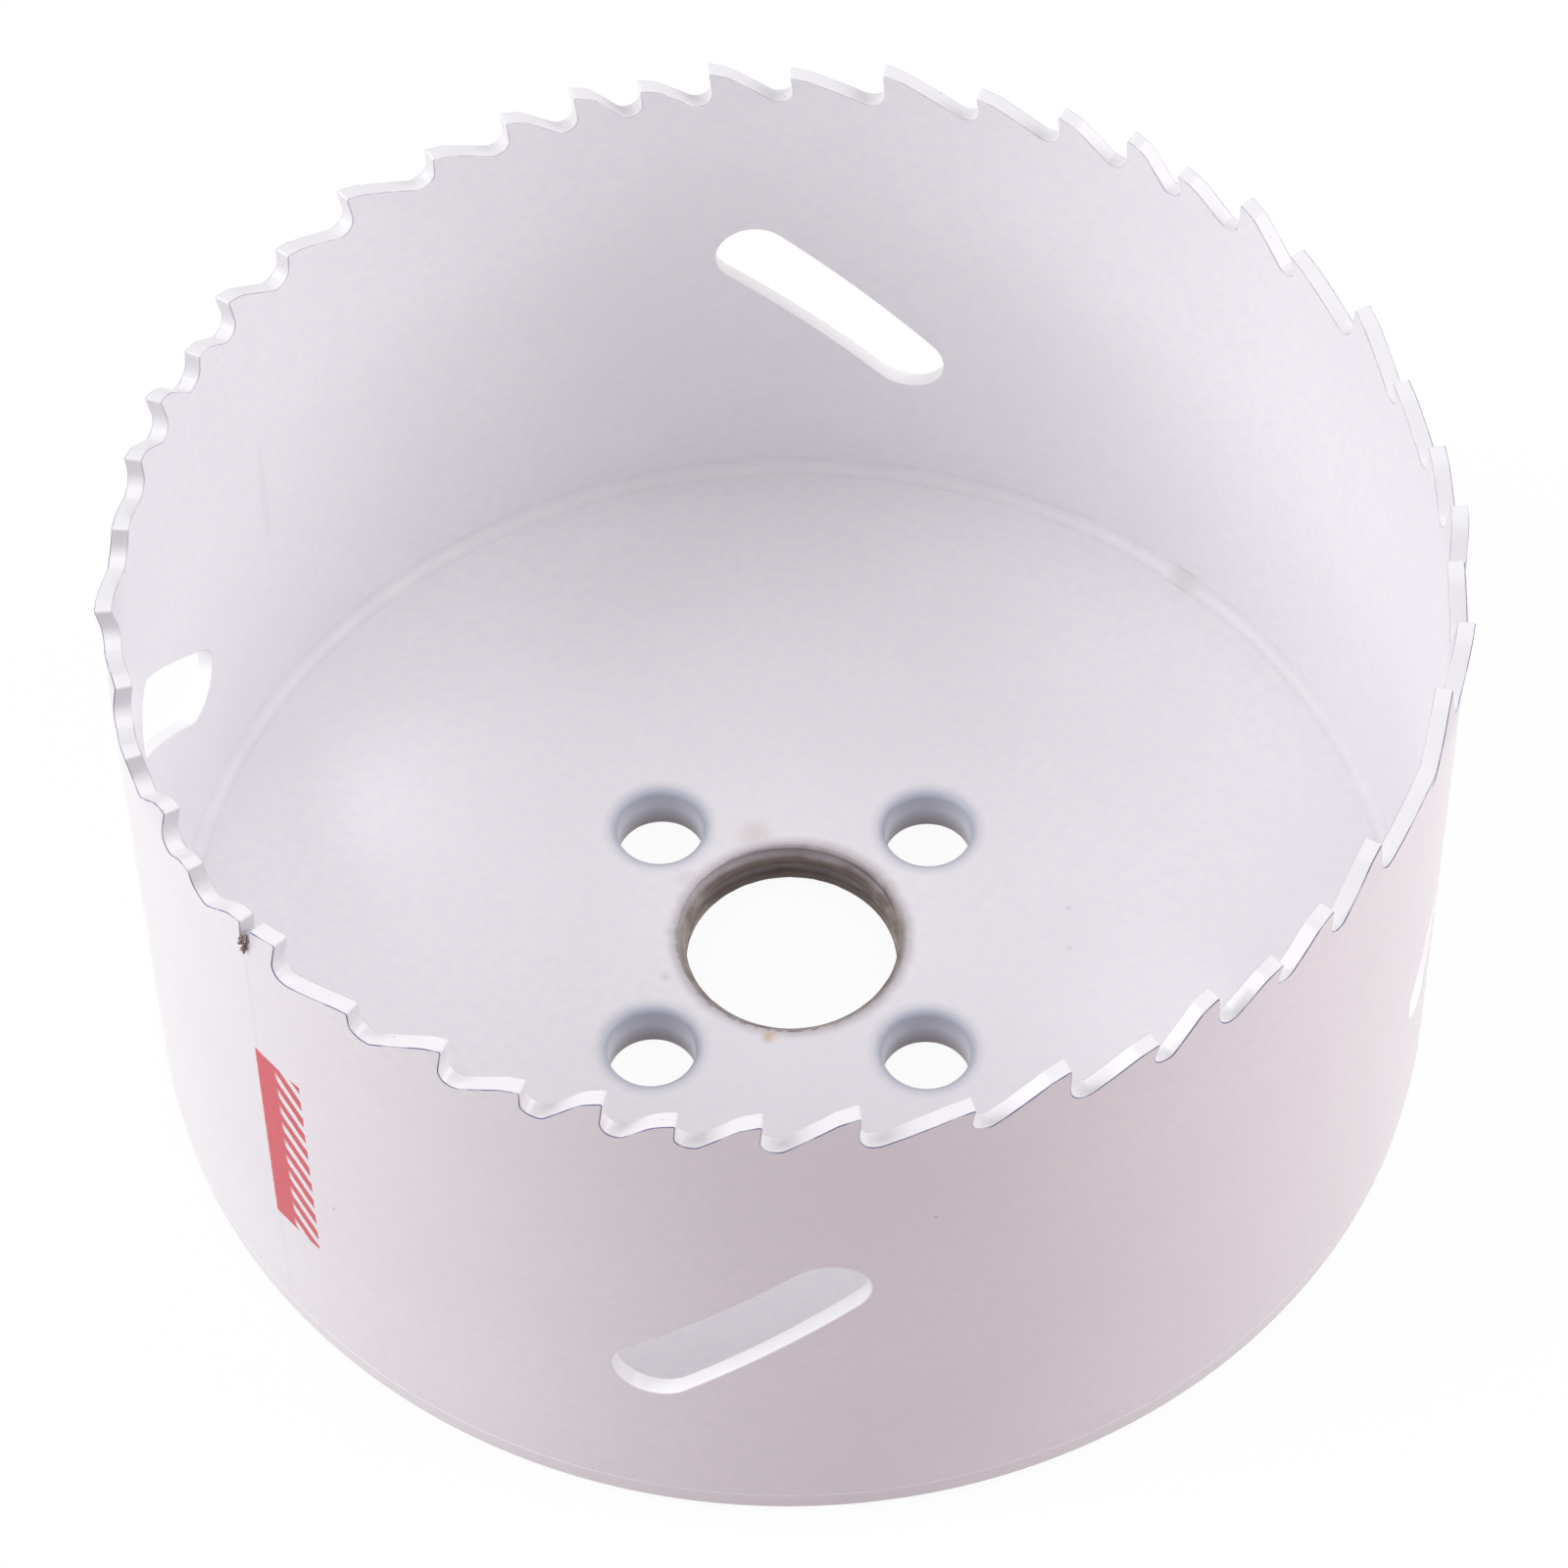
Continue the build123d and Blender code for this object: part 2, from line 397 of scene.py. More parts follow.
# ---------------------------------------------------------------- flat outlines
def rounded(corners: Sequence[tuple[Point, float]], step: float, longest: float) -> list[Point]:
    """An open outline with its corners rounded.

    Args:
        corners: each corner and its radius; the first and the last keep their place.
        step: turn between two points of an arc, in degrees.
        longest: longest straight stretch between two points.

    Returns:
        The outline's points.
    """
    places = [np.array(place, float) for place, _ in corners]
    points = [places[0]]
    for before, here, after, (_, radius) in zip(places, places[1:], places[2:], corners[1:]):
        back, on = before - here, after - here
        back, on = back / np.linalg.norm(back), on / np.linalg.norm(on)
        opening = math.acos(max(-1.0, min(1.0, float(back @ on))))
        start = here + back * radius / math.tan(opening / 2)
        centre = here + (back + on) / np.linalg.norm(back + on) * radius / math.sin(opening / 2)
        turn = math.pi - opening
        side = np.sign(back[1] * on[0] - back[0] * on[1])
        count = max(2, math.ceil(math.degrees(turn) / step))
        spoke = start - centre
        for number in range(count + 1):
            angle = side * turn * number / count
            cos, sin = math.cos(angle), math.sin(angle)
            turned = (spoke[0] * cos - spoke[1] * sin, spoke[0] * sin + spoke[1] * cos)
            points.append(centre + np.array(turned))
    points.append(places[-1])
    return divided(points, longest)


def divided(points: Sequence[np.ndarray], longest: float) -> list[Point]:
    """The same outline with its long stretches divided evenly."""
    result = [tuple(points[0])]
    for start, end in zip(points, points[1:]):
        count = max(1, math.ceil(float(np.linalg.norm(end - start)) / longest))
        result += [tuple(start + (end - start) * number / count) for number in range(1, count + 1)]
    return result


def joined(upper: Sequence[int], lower: Sequence[int], closed: bool = True) -> list[tuple]:
    """Four-sided faces between two rows of points; a closed row ends where it starts."""
    last = len(upper) if closed else len(upper) - 1
    pairs = [(number, (number + 1) % len(upper)) for number in range(last)]
    return [(upper[here], upper[ahead], lower[ahead], lower[here]) for here, ahead in pairs]


def loops_to_fill(loops: Sequence[list[int]],
                  flat_place: Callable) -> tuple[list[int], list[Vector], list[tuple]]:
    """Points and limiting lines of closed loops.

    Args:
        loops: numbers of each loop's points.
        flat_place: gives the flat place of a numbered point.

    Returns:
        The points' numbers, their flat places and the lines between them.
    """
    known, limits = [], []
    for loop in loops:
        first = len(known)
        limits += [(first + k, first + (k + 1) % len(loop)) for k in range(len(loop))]
        known += loop
    return known, [Vector(flat_place(number)) for number in known], limits


def filled(known: list[int], flat: list[Vector], limits: list, holes: Sequence[list[Point]],
           add: Callable) -> list[tuple]:
    """Triangles between closed loops.

    Args:
        known: numbers of the loops' points.
        flat: flat places of those points and then of the free points between them.
        limits: lines that the triangles keep to.
        holes: loops that stay open.
        add: adds a point at a flat place and returns its number.

    Returns:
        The triangles, by point number.
    """
    made, _, faces, origin, _, _ = delaunay_2d_cdt(flat, limits, [], 1, NEAR)
    places = np.array([tuple(place) for place in made])
    corners = places[np.array([list(face) for face in faces])]
    middles = corners.mean(1)
    open_face = np.zeros(len(faces), bool)
    for hole in holes:
        open_face |= inside(middles, np.array(hole))
    numbered: list = [None] * len(made)
    result = []
    for face, skip in zip(faces, open_face):
        if skip:
            continue
        for k in face:
            if numbered[k] is None:
                old = [source for source in origin[k] if source < len(known)]
                numbered[k] = known[old[0]] if old else add(made[k])
        result.append(tuple(numbered[k] for k in face))
    return result


def inside(points: np.ndarray, loop: np.ndarray) -> np.ndarray:
    """Whether each point lies inside a closed loop."""
    found = np.zeros(len(points), bool)
    for start, end in zip(loop, np.roll(loop, -1, axis=0)):
        crosses = (start[1] > points[:, 1]) != (end[1] > points[:, 1])
        rise = end[1] - start[1]
        if rise == 0:
            continue
        at = start[0] + (points[:, 1] - start[1]) / rise * (end[0] - start[0])
        found ^= crosses & (points[:, 0] < at)
    return found


@dataclass
class Edge:
    """An edge line of a sheet, with the sheet on its left.

    Attributes:
        points: the line's points.
        closed: a loop, and otherwise a line that repeats after one period along x.
        period: that period, for an open line.
        soft: radius of the rounding between the sheet's faces and this edge.
    """

    points: list[Point]
    closed: bool
    soft: float
    period: float = 0.0

    def outward(self) -> np.ndarray:
        """Direction out of the sheet at each point, long enough to keep a mitre's width."""
        here = np.array(self.points)
        ring = here if self.closed else here[:-1]
        jump = np.array([0.0 if self.closed else self.period, 0.0])
        travel = 1 if self.closed or here[-1, 0] > here[0, 0] else -1
        after = np.roll(ring, -1, axis=0)
        before = np.roll(ring, 1, axis=0)
        after[-1] += travel * jump
        before[0] -= travel * jump
        lead, trail = after - ring, ring - before
        lead /= np.linalg.norm(lead, axis=1)[:, None]
        trail /= np.linalg.norm(trail, axis=1)[:, None]
        middle = lead + trail
        middle /= np.linalg.norm(middle, axis=1)[:, None]
        stretch = 1 / np.maximum(LEAST_MITRE, (middle * lead).sum(1))
        normals = np.stack([middle[:, 1], -middle[:, 0]], 1) * stretch[:, None]
        return normals if self.closed else np.vstack([normals, normals[:1]])


@dataclass
class SheetShape:
    """A sheet of even thickness in the x, z plane, with its thickness along y and rounded edges.

    Every point keeps its own normal, so that the rounding shades smoothly into the flat faces.

    Attributes:
        thickness: along y.
        grid: distance between the free points of a face.
        grid_clear: share of the grid that free points keep from the rim.
        arc_steps: steps of a rounding.
        inner_outline: strength of the painted dark outline on the edge of the -Y face, with the +Y face's at 1.
    """

    thickness: float
    grid: float
    grid_clear: float = 0.4
    arc_steps: int = 3
    inner_outline: float = 0.7
    points: list[Vector] = field(default_factory=list)
    normals: list[Vector] = field(default_factory=list)
    edge_share: list[float] = field(default_factory=list)
    cut_share: list[float] = field(default_factory=list)
    faces: list[tuple] = field(default_factory=list)

    def _add(self, x: float, y: float, z: float, normal: tuple,
             edge: float = 0.0, cut: float = 0.0) -> int:
        """Adds a point with its shares of an edge and of a cut face, and returns its number."""
        self.points.append(Vector((x, y, z)))
        self.normals.append(Vector(normal).normalized())
        self.edge_share.append(edge)
        self.cut_share.append(cut)
        return len(self.points) - 1

    def _edge_rows(self, edge: Edge) -> tuple[list[int], list[int]]:
        """Adds the rounded rim of one edge and returns its rows of points on the two faces."""
        outward = edge.outward()
        half = self.thickness / 2
        quarter = [math.pi / 2 * number / self.arc_steps for number in range(self.arc_steps + 1)]
        rows = []
        for side, angles in ((1, quarter), (-1, quarter[::-1])):
            for angle in angles:
                cos, sin = math.cos(angle), math.sin(angle)
                inset = edge.soft * (1 - sin)
                depth = side * (half - edge.soft * (1 - cos))
                share = math.sin(2 * angle) * (1.0 if side > 0 else self.inner_outline)
                rows.append([
                    self._add(p[0] - n[0] * inset, depth, p[1] - n[1] * inset,
                              (n[0] * sin, side * cos, n[1] * sin), share, sin)
                    for p, n in zip(edge.points, outward)])
        for upper, lower in zip(rows, rows[1:]):
            self.faces += joined(upper, lower, edge.closed)
        return rows[0], rows[-1]

    def build(self, outer: Sequence[Edge], holes: Sequence[Edge]) -> None:
        """Makes the sheet between its edges.

        Args:
            outer: one closed loop, or a lower and an upper line that are joined at both ends.
            holes: closed loops inside it.
        """
        outer_rows = [self._edge_rows(edge) for edge in outer]
        hole_rows = [self._edge_rows(edge) for edge in holes]
        for face, side in ((0, 1), (1, -1)):
            border = [rows[face] for rows in outer_rows]
            inner = [rows[face] for rows in hole_rows]
            self._fill(border, inner, side, closed=outer[0].closed)

    def _fill(self, border: list[list[int]], inner: list[list[int]], side: int, closed: bool) -> None:
        """Fills one face with triangles through an even grid of points."""
        half = side * self.thickness / 2
        numbers = [number for row in border for number in row]
        if not closed:
            numbers = self._with_ends(border, half, side)
        known, flat, limits = loops_to_fill(
            [numbers, *inner], lambda n: (self.points[n].x, self.points[n].z))
        flat += self._grid_inside(np.array([tuple(v) for v in flat]))
        holes = [[(self.points[n].x, self.points[n].z) for n in loop] for loop in inner]
        self.faces += filled(known, flat, limits, holes,
                             lambda place: self._add(place.x, half, place.y, (0, side, 0)))

    def _with_ends(self, border: list[list[int]], half: float, side: int) -> list[int]:
        """Joins the lower and the upper line into one loop, with the same points on both ends."""
        lower, upper = border
        start, end = self.points[lower[0]], self.points[upper[-1]]
        count = max(2, round((end.z - start.z) / self.grid))
        rises = [start.z + (end.z - start.z) * k / count for k in range(1, count)]
        right = [self._add(self.points[lower[-1]].x, half, z, (0, side, 0)) for z in rises]
        left = [self._add(start.x, half, z, (0, side, 0)) for z in reversed(rises)]
        return lower + right + upper + left

    def _grid_inside(self, rim: np.ndarray) -> list[Vector]:
        """Grid points in the box of the rim that keep clear of it."""
        low, high = rim.min(0), rim.max(0)
        xs = np.linspace(low[0], high[0], max(2, round((high[0] - low[0]) / self.grid)))[1:-1]
        zs = np.linspace(low[1], high[1], max(2, round((high[1] - low[1]) / self.grid)))[1:-1]
        clear = self.grid * self.grid_clear
        kept = []
        for x in xs:
            near = rim[np.abs(rim[:, 0] - x) < clear]
            for z in zs:
                if not len(near) or np.hypot(near[:, 0] - x, near[:, 1] - z).min() > clear:
                    kept.append(Vector((x, z)))
        return kept

    def mesh(self, name: str) -> bpy.types.Mesh:
        """The sheet as a Blender mesh, with its normals and its shares stored on its points."""
        mesh = bpy.data.meshes.new(name)
        mesh.from_pydata([tuple(p) for p in self.points], [], self.faces)
        store_vectors(mesh, "flat_normal", self.normals)
        store_numbers(mesh, "edge_share", self.edge_share)
        store_numbers(mesh, "cut_share", self.cut_share)
        return mesh


def store_vectors(mesh: bpy.types.Mesh, name: str, values: Sequence[Vector]) -> None:
    """Keeps a vector for each point of a mesh."""
    layer = mesh.attributes.new(name, "FLOAT_VECTOR", "POINT")
    layer.data.foreach_set("vector", np.array([tuple(v) for v in values], np.float32).ravel())


def store_numbers(mesh: bpy.types.Mesh, name: str, values: Sequence[float]) -> None:
    """Keeps a number for each point of a mesh."""
    layer = mesh.attributes.new(name, "FLOAT", "POINT")
    layer.data.foreach_set("value", np.array(values, np.float32))


def new_piece(name: str, mesh: bpy.types.Mesh) -> bpy.types.Object:
    """Puts a mesh into the scene as a piece of the saw."""
    piece = bpy.data.objects.new(name, mesh)
    bpy.context.scene.collection.objects.link(piece)
    return piece


def face_outwards(mesh: bpy.types.Mesh) -> None:
    """Turns every face of a closed shell outwards."""
    work = bmesh.new()
    work.from_mesh(mesh)
    bmesh.ops.remove_doubles(work, verts=work.verts, dist=MERGE_REACH)
    bmesh.ops.recalc_face_normals(work, faces=work.faces)
    work.to_mesh(mesh)
    work.free()


def use_stored_normals(mesh: bpy.types.Mesh, name: str) -> None:
    """Shades a mesh by the normals stored on its points; a zero one keeps the mesh's own."""
    stored = np.zeros(len(mesh.vertices) * 3, np.float32)
    mesh.attributes[name].data.foreach_get("vector", stored)
    own = np.zeros(len(mesh.vertices) * 3, np.float32)
    mesh.vertices.foreach_get("normal", own)
    stored, own = stored.reshape(-1, 3), own.reshape(-1, 3)
    length = np.linalg.norm(stored, axis=1, keepdims=True)
    normals = np.where(length > 0.5, stored / np.maximum(length, 1e-6), own)
    mesh.attributes.remove(mesh.attributes[name])
    mesh.polygons.foreach_set("use_smooth", np.ones(len(mesh.polygons), bool))
    mesh.normals_split_custom_set_from_vertices(normals.tolist())


def ride_as(piece: bpy.types.Object, node: Union[str, None] = None) -> None:
    """Fixes a finished piece to the saw.

    Args:
        piece: the piece.
        node: the CAD node that it stands for.
    """
    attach(piece, BODY)
    if node:
        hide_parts(node)
    LOG.info("%s: %d faces", piece.name, len(piece.data.polygons))


# ---------------------------------------------------------------- finishes
class Slot(Enum):
    """The record's finishes."""

    BAND = "white_paint_band"
    PLATE = "white_paint_plate"
    WELD = "white_paint_weld"


@dataclass(frozen=True)
class SatinPaint:
    """Sprayed off-white paint with a soft gloss: faint clouding, orange peel and dust nibs."""

    colour: Colour = (0.87, 0.845, 0.875)
    cloud_colour: Colour = (0.84, 0.81, 0.845)
    cloud_size: float = 22 * MM
    peel_size: float = 0.9 * MM
    peel_depth: float = 0.006 * MM
    nib_spacing: float = 4.5 * MM
    nib_radius: float = 0.22 * MM
    nib_share: float = 0.10
    nib_depth: float = 0.05 * MM
    nib_colour: Colour = (0.52, 0.50, 0.53)
    mottle_size: float = 0.75 * MM
    mottle_colour: Colour = (0.80, 0.785, 0.84)
    mark_strength: float = 0.35
    sheen_size: float = 6 * MM
    roughness: float = 0.30
    roughness_swing: float = 0.08
    coat: float = 0.14
    specular: float = 0.30
    coat_roughness: float = 0.12

    def coated(self, graph: FinishGraph) -> tuple[Wire, Wire, Wire]:
        """Colour, roughness and normal of the plain paint."""
        cloud = graph.noise(self.cloud_size, 2.0).ramp(0.38, 0.66)
        fine = graph.noise(self.peel_size, 2.0)
        nibs = graph.specks(self.nib_spacing, self.nib_radius, self.nib_share)
        mottle = graph.noise(self.mottle_size, 2.0, shift=13.0).ramp(0.42, 0.62)
        colour = graph.mix(cloud, self.colour, self.cloud_colour)
        colour = graph.mix(mottle * self.mark_strength, colour, self.mottle_colour)
        colour = graph.mix(nibs * self.mark_strength, colour, self.nib_colour)
        roughness = self.roughness + graph.ragged(self.sheen_size, 3.0, 3.0, self.roughness_swing)
        normal = graph.bump(fine, self.peel_depth)
        normal = graph.bump(nibs, self.nib_depth, normal)
        return colour, roughness, normal

    def sockets(self, colour: Wire, roughness: Wire, normal: Wire) -> dict:
        """The shader's sockets for a surface that is all paint."""
        return {"Base Color": colour, "Roughness": roughness, "Normal": normal, "Metallic": 0.0,
                "Specular IOR Level": self.specular, "Coat Weight": self.coat,
                "Coat Roughness": self.coat_roughness}


@dataclass(frozen=True)
class BandFinish:
    """Paint of the band, with a dark bluish outline painted along its tooth edges, its butt-weld line and one
    plain red bar.
    """

    paint: SatinPaint
    seam_azimuth: float
    rim_level: float
    wall_outer: float
    painted_edge_outline: Colour = (0.14, 0.12, 0.26)
    tooth_face_thin_paint_and_shade: Colour = (0.78, 0.76, 0.795)
    slot_face: Colour = (0.97, 0.96, 0.98)
    grit_colour: Colour = (0.22, 0.19, 0.22)
    grit_spacing: float = 1.3 * MM
    grit_radius: float = 0.08 * MM
    grit_share: float = 0.35
    scuff_azimuth: float = 149.0
    scuff_colour: Colour = (0.42, 0.40, 0.43)
    scuff_low: float = 20 * MM
    scuff_high: float = 27 * MM
    seam_colour: Colour = (0.42, 0.38, 0.40)
    seam_width: float = 0.35 * MM
    seam_depth: float = 0.012 * MM
    faint: float = 0.10
    bar_azimuth: float = -136.1
    bar_width: float = 4.0 * MM
    bar_low: float = 12.1 * MM
    bar_high: float = 29.5 * MM
    bar_colour: Colour = (0.66, 0.045, 0.075)
    hatch_pitch: float = 1.75 * MM
    hatch_slope: float = 0.85
    hatch_clear: float = 0.42

    def material(self) -> bpy.types.Material:
        """Builds the material."""
        graph = FinishGraph("band_paint")
        colour, roughness, normal = self.paint.coated(graph)
        edge_outline = self._painted_edge_outline(graph)
        cut = graph.attribute("cut_share").ramp(0.6, 1.0)
        high = graph.z.ease(self.rim_level - 0.6 * MM, self.rim_level - 0.3 * MM)
        # The tooth faces at the rim get a darker colour: partly thinner paint, partly painted shade that tones
        # down their brightly lit tops.
        colour = graph.mix(cut * high, colour, self.tooth_face_thin_paint_and_shade)
        colour = graph.mix(cut * (1 - high), colour, self.slot_face)
        grit = graph.specks(self.grit_spacing, self.grit_radius, self.grit_share, 17.0) * cut * high
        colour = graph.mix(grit * 0.8, colour, self.grit_colour)
        # Paints a dark bluish outline along the outer edges of the teeth.
        colour = graph.mix(edge_outline, colour, self.painted_edge_outline)
        colour = graph.mix(self._scuff(graph) * self.faint, colour, self.scuff_colour)
        seam = self._seam_line(graph)
        colour = graph.mix(seam * self.faint, colour, self.seam_colour)
        bar = self._bar(graph)
        colour = graph.mix(bar, colour, self.bar_colour)
        normal = graph.bump(seam, self.seam_depth, normal)
        roughness = roughness + bar * 0.06 + edge_outline * 0.1 - cut * high * 0.15
        return graph.finish(self.paint.sockets(colour, roughness, normal))

    def _painted_edge_outline(self, graph: FinishGraph) -> Wire:
        """Share of the dark bluish outline painted along the outer edges of the teeth."""
        patches = graph.noise(1.6 * MM, 3.0, shift=7.0).ramp(0.34, 0.54) * 0.55 + 0.45
        high = graph.z.ease(self.rim_level - 0.5 * MM, self.rim_level)
        return graph.attribute("edge_share").ramp(0.35, 0.85) * patches * high

    def _scuff(self, graph: FinishGraph) -> Wire:
        """Share of a faint upright scuff inside the band."""
        across = abs(graph.arc_from(self.scuff_azimuth, self.wall_outer))
        inside_face = graph.radius().ease(self.wall_outer - 0.7 * MM, self.wall_outer - 0.9 * MM)
        upright = graph.z.within(self.scuff_low, self.scuff_high, 1.5 * MM)
        return across.ramp(0.6 * MM, 0.1 * MM) * upright * inside_face

    def _seam_line(self, graph: FinishGraph) -> Wire:
        """Share of the butt weld's faint upright line, outside and inside."""
        across = abs(graph.arc_from(self.seam_azimuth, self.wall_outer))
        broken = graph.noise(2.5 * MM, 2.0, stretch=(1.0, 1.0, 0.5), shift=11.0).ramp(0.30, 0.6)
        return across.ramp(self.seam_width, 0.1 * self.seam_width) * broken

    def _bar(self, graph: FinishGraph) -> Wire:
        """Share of the printed bar, with a slightly ragged edge and a hatched right half."""
        ragged = graph.ragged(0.5 * MM, 2.0, 19.0, 0.12 * MM)
        across = graph.arc_from(self.bar_azimuth, self.wall_outer) + ragged
        up = graph.z + ragged
        half, soft = self.bar_width / 2, 0.05 * MM
        inside = across.within(-half, half, soft) * up.within(self.bar_low, self.bar_high, soft)
        outside_face = graph.radius().ease(self.wall_outer - 0.3 * MM, self.wall_outer - 0.1 * MM)
        phase = ((up + across * self.hatch_slope) / self.hatch_pitch).fraction()
        clear = phase.within(0.0, self.hatch_clear, 0.05) * across.ease(-0.15 * half, 0.05 * half)
        return inside * outside_face * (1 - clear)


@dataclass(frozen=True)
class Spot:
    """A soft-edged mark on the plate: its centre, radius, colour and strength."""

    place: Point
    radius: float
    colour: Colour
    share: float


@dataclass(frozen=True)
class PlateFinish:
    """Paint of the plate, bare dark steel in its bore, and thinner paint with painted shade in its pin holes.
    """

    paint: SatinPaint
    bore_edge: float
    pin_place: float
    pin_radius: float
    pin_edge: float
    thickness: float
    steel: Colour = (0.21, 0.175, 0.155)
    bright_steel: Colour = (0.50, 0.44, 0.41)
    burnt_steel: Colour = (0.105, 0.078, 0.068)
    film: Colour = (0.42, 0.375, 0.39)
    rust: Colour = (0.62, 0.42, 0.25)
    hole_top_paint_and_shade: Colour = (0.52, 0.54, 0.62)
    hole_middle_paint_and_shade: Colour = (0.70, 0.72, 0.81)
    hole_foot_paint_and_shade: Colour = (0.44, 0.40, 0.40)
    hole_halo: Colour = (0.58, 0.59, 0.66)
    rust_place: Point = (-1.3 * MM, -7.95 * MM)
    rust_radius: float = 0.75 * MM
    spots: tuple = (
        Spot((-7.95 * MM, 0.3 * MM), 0.55 * MM, (0.62, 0.50, 0.42), 0.40),
        Spot((-8.10 * MM, -3.3 * MM), 0.55 * MM, (0.50, 0.49, 0.53), 0.35),
        Spot((-2.60 * MM, 8.3 * MM), 1.70 * MM, (0.60, 0.48, 0.42), 0.38),
        Spot((-7.00 * MM, 4.5 * MM), 1.10 * MM, (0.62, 0.52, 0.46), 0.26))

    def material(self) -> bpy.types.Material:
        """Builds the material."""
        graph = FinishGraph("plate_paint")
        colour, roughness, normal = self.paint.coated(graph)
        radius = graph.radius()
        reach = radius + graph.ragged(1.6 * MM, 3.0, 5.0, 0.35 * MM)
        bare = reach.ease(self.bore_edge + 0.12 * MM, self.bore_edge - 0.42 * MM)
        film = reach.ease(self.bore_edge + 0.85 * MM, self.bore_edge - 0.15 * MM)
        for spot in self.spots:
            colour = graph.mix(self._spot(graph, spot), colour, spot.colour)
        colour = graph.mix(film * 0.75, colour, self.film)
        colour = graph.mix(self._rust(graph) * 0.7, colour, self.rust)
        colour = self._in_pin_holes(graph, colour)
        colour = graph.mix(bare, colour, self._bare_steel(graph))
        roughness = roughness * (1 - bare) + bare * 0.5
        sockets = self.paint.sockets(colour, roughness, normal)
        sockets["Metallic"] = bare * 0.45
        sockets["Coat Weight"] = (1 - film) * self.paint.coat
        return graph.finish(sockets)

    def _bare_steel(self, graph: FinishGraph) -> Wire:
        """Colour of the bore: streaked steel, burnt dark on its +Y side."""
        streaks = graph.noise(1.4 * MM, 3.0, stretch=(1.0, 1.0, 3.0), shift=23.0).ramp(0.30, 0.75)
        metal = graph.mix(streaks, self.steel, self.bright_steel)
        burnt = (graph.y + graph.ragged(2.5 * MM, 2.0, 29.0, 4 * MM)).ease(1.5 * MM, 5.5 * MM)
        return graph.mix(burnt * 0.92, metal, self.burnt_steel)

    def _spot(self, graph: FinishGraph, spot: Spot) -> Wire:
        """Share of one soft mark."""
        ragged = graph.ragged(0.6 * MM, 2.0, 37.0, 0.6 * spot.radius)
        away = graph.away_from(graph.place, (*spot.place, self.thickness))
        return (away + ragged).ease(spot.radius, 0.0) * spot.share

    def _rust(self, graph: FinishGraph) -> Wire:
        """Share of one small rust spot at the bore's edge."""
        ragged = graph.ragged(0.4 * MM, 2.0, 2.0, 0.6 * MM)
        away = graph.away_from(graph.place, (*self.rust_place, self.thickness))
        return (away + ragged).ease(self.rust_radius, 0.0)

    def _in_pin_holes(self, graph: FinishGraph, colour: Wire) -> Wire:
        """The colour, with thin bluish paint and painted shade down the pin holes and a soft bluish halo round
        them.
        """
        folded = graph.vector(abs(graph.x), abs(graph.y), 0.0)
        away = graph.away_from(folded, (self.pin_place, self.pin_place, 0.0))
        rim = self.pin_radius + self.pin_edge
        near = away.ease(rim + 0.70 * MM, rim - 0.20 * MM)
        inside = away.ease(rim + 0.15 * MM, rim - 0.32 * MM)
        depth = (self.thickness - graph.z) / self.thickness
        # Painted shade over the thin paint of the pin-hole walls: darker at the top and at the foot than in the
        # middle.
        down = graph.mix(depth.ramp(0.05, 0.42), self.hole_top_paint_and_shade, self.hole_middle_paint_and_shade)
        down = graph.mix(depth.ramp(0.45, 0.92), down, self.hole_foot_paint_and_shade)
        return graph.mix(inside, graph.mix(near * 0.7, colour, self.hole_halo), down)


@dataclass(frozen=True)
class WeldFinish:
    """Paint over the weld bead, a little rougher than on the flat, darker in blotches as duller paint and
    painted shade of the inside corner, and with a painted shadow round its lump.
    """

    paint: SatinPaint
    lump_azimuth: float
    bead_radius: float
    dull_paint_and_corner_shade: Colour = (0.66, 0.65, 0.68)
    lump_shadow: Colour = (0.55, 0.53, 0.54)
    lump_shadow_reach: float = 1.6 * MM

    def material(self) -> bpy.types.Material:
        """Builds the material."""
        graph = FinishGraph("weld_paint")
        colour, roughness, normal = self.paint.coated(graph)
        spatter = graph.noise(0.8 * MM, 3.0, shift=41.0)
        patches = graph.noise(5 * MM, 2.0, shift=43.0).ramp(0.3, 0.7)
        # Darker blotches over the whole bead: duller paint and painted shade of the inside corner.
        colour = graph.mix(patches * 0.20 + 0.12, colour, self.dull_paint_and_corner_shade)
        # A painted shadow round the lump where the bead starts and stops.
        lump = abs(graph.arc_from(self.lump_azimuth, self.bead_radius)).ease(self.lump_shadow_reach, 0.0)
        colour = graph.mix(lump * 0.5, colour, self.lump_shadow)
        normal = graph.bump(spatter, 0.02 * MM, normal)
        return graph.finish(self.paint.sockets(colour, roughness + 0.15, normal))


@dataclass(frozen=True)
class BurntScale:
    """Dark oxide on the flash that the butt weld pushed out."""

    dark: Colour = (0.10, 0.055, 0.06)
    brown: Colour = (0.48, 0.36, 0.37)

    def material(self) -> bpy.types.Material:
        """Builds the material."""
        graph = FinishGraph("burnt_scale")
        mottle = graph.noise(0.35 * MM, 4.0).ramp(0.35, 0.7)
        normal = graph.bump(graph.noise(0.2 * MM, 4.0, shift=9.0), 0.06 * MM)
        colour = graph.mix(mottle, self.dark, self.brown)
        return graph.finish({"Base Color": colour, "Roughness": 0.62 - mottle * 0.15, "Normal": normal,
                             "Metallic": mottle * 0.4})


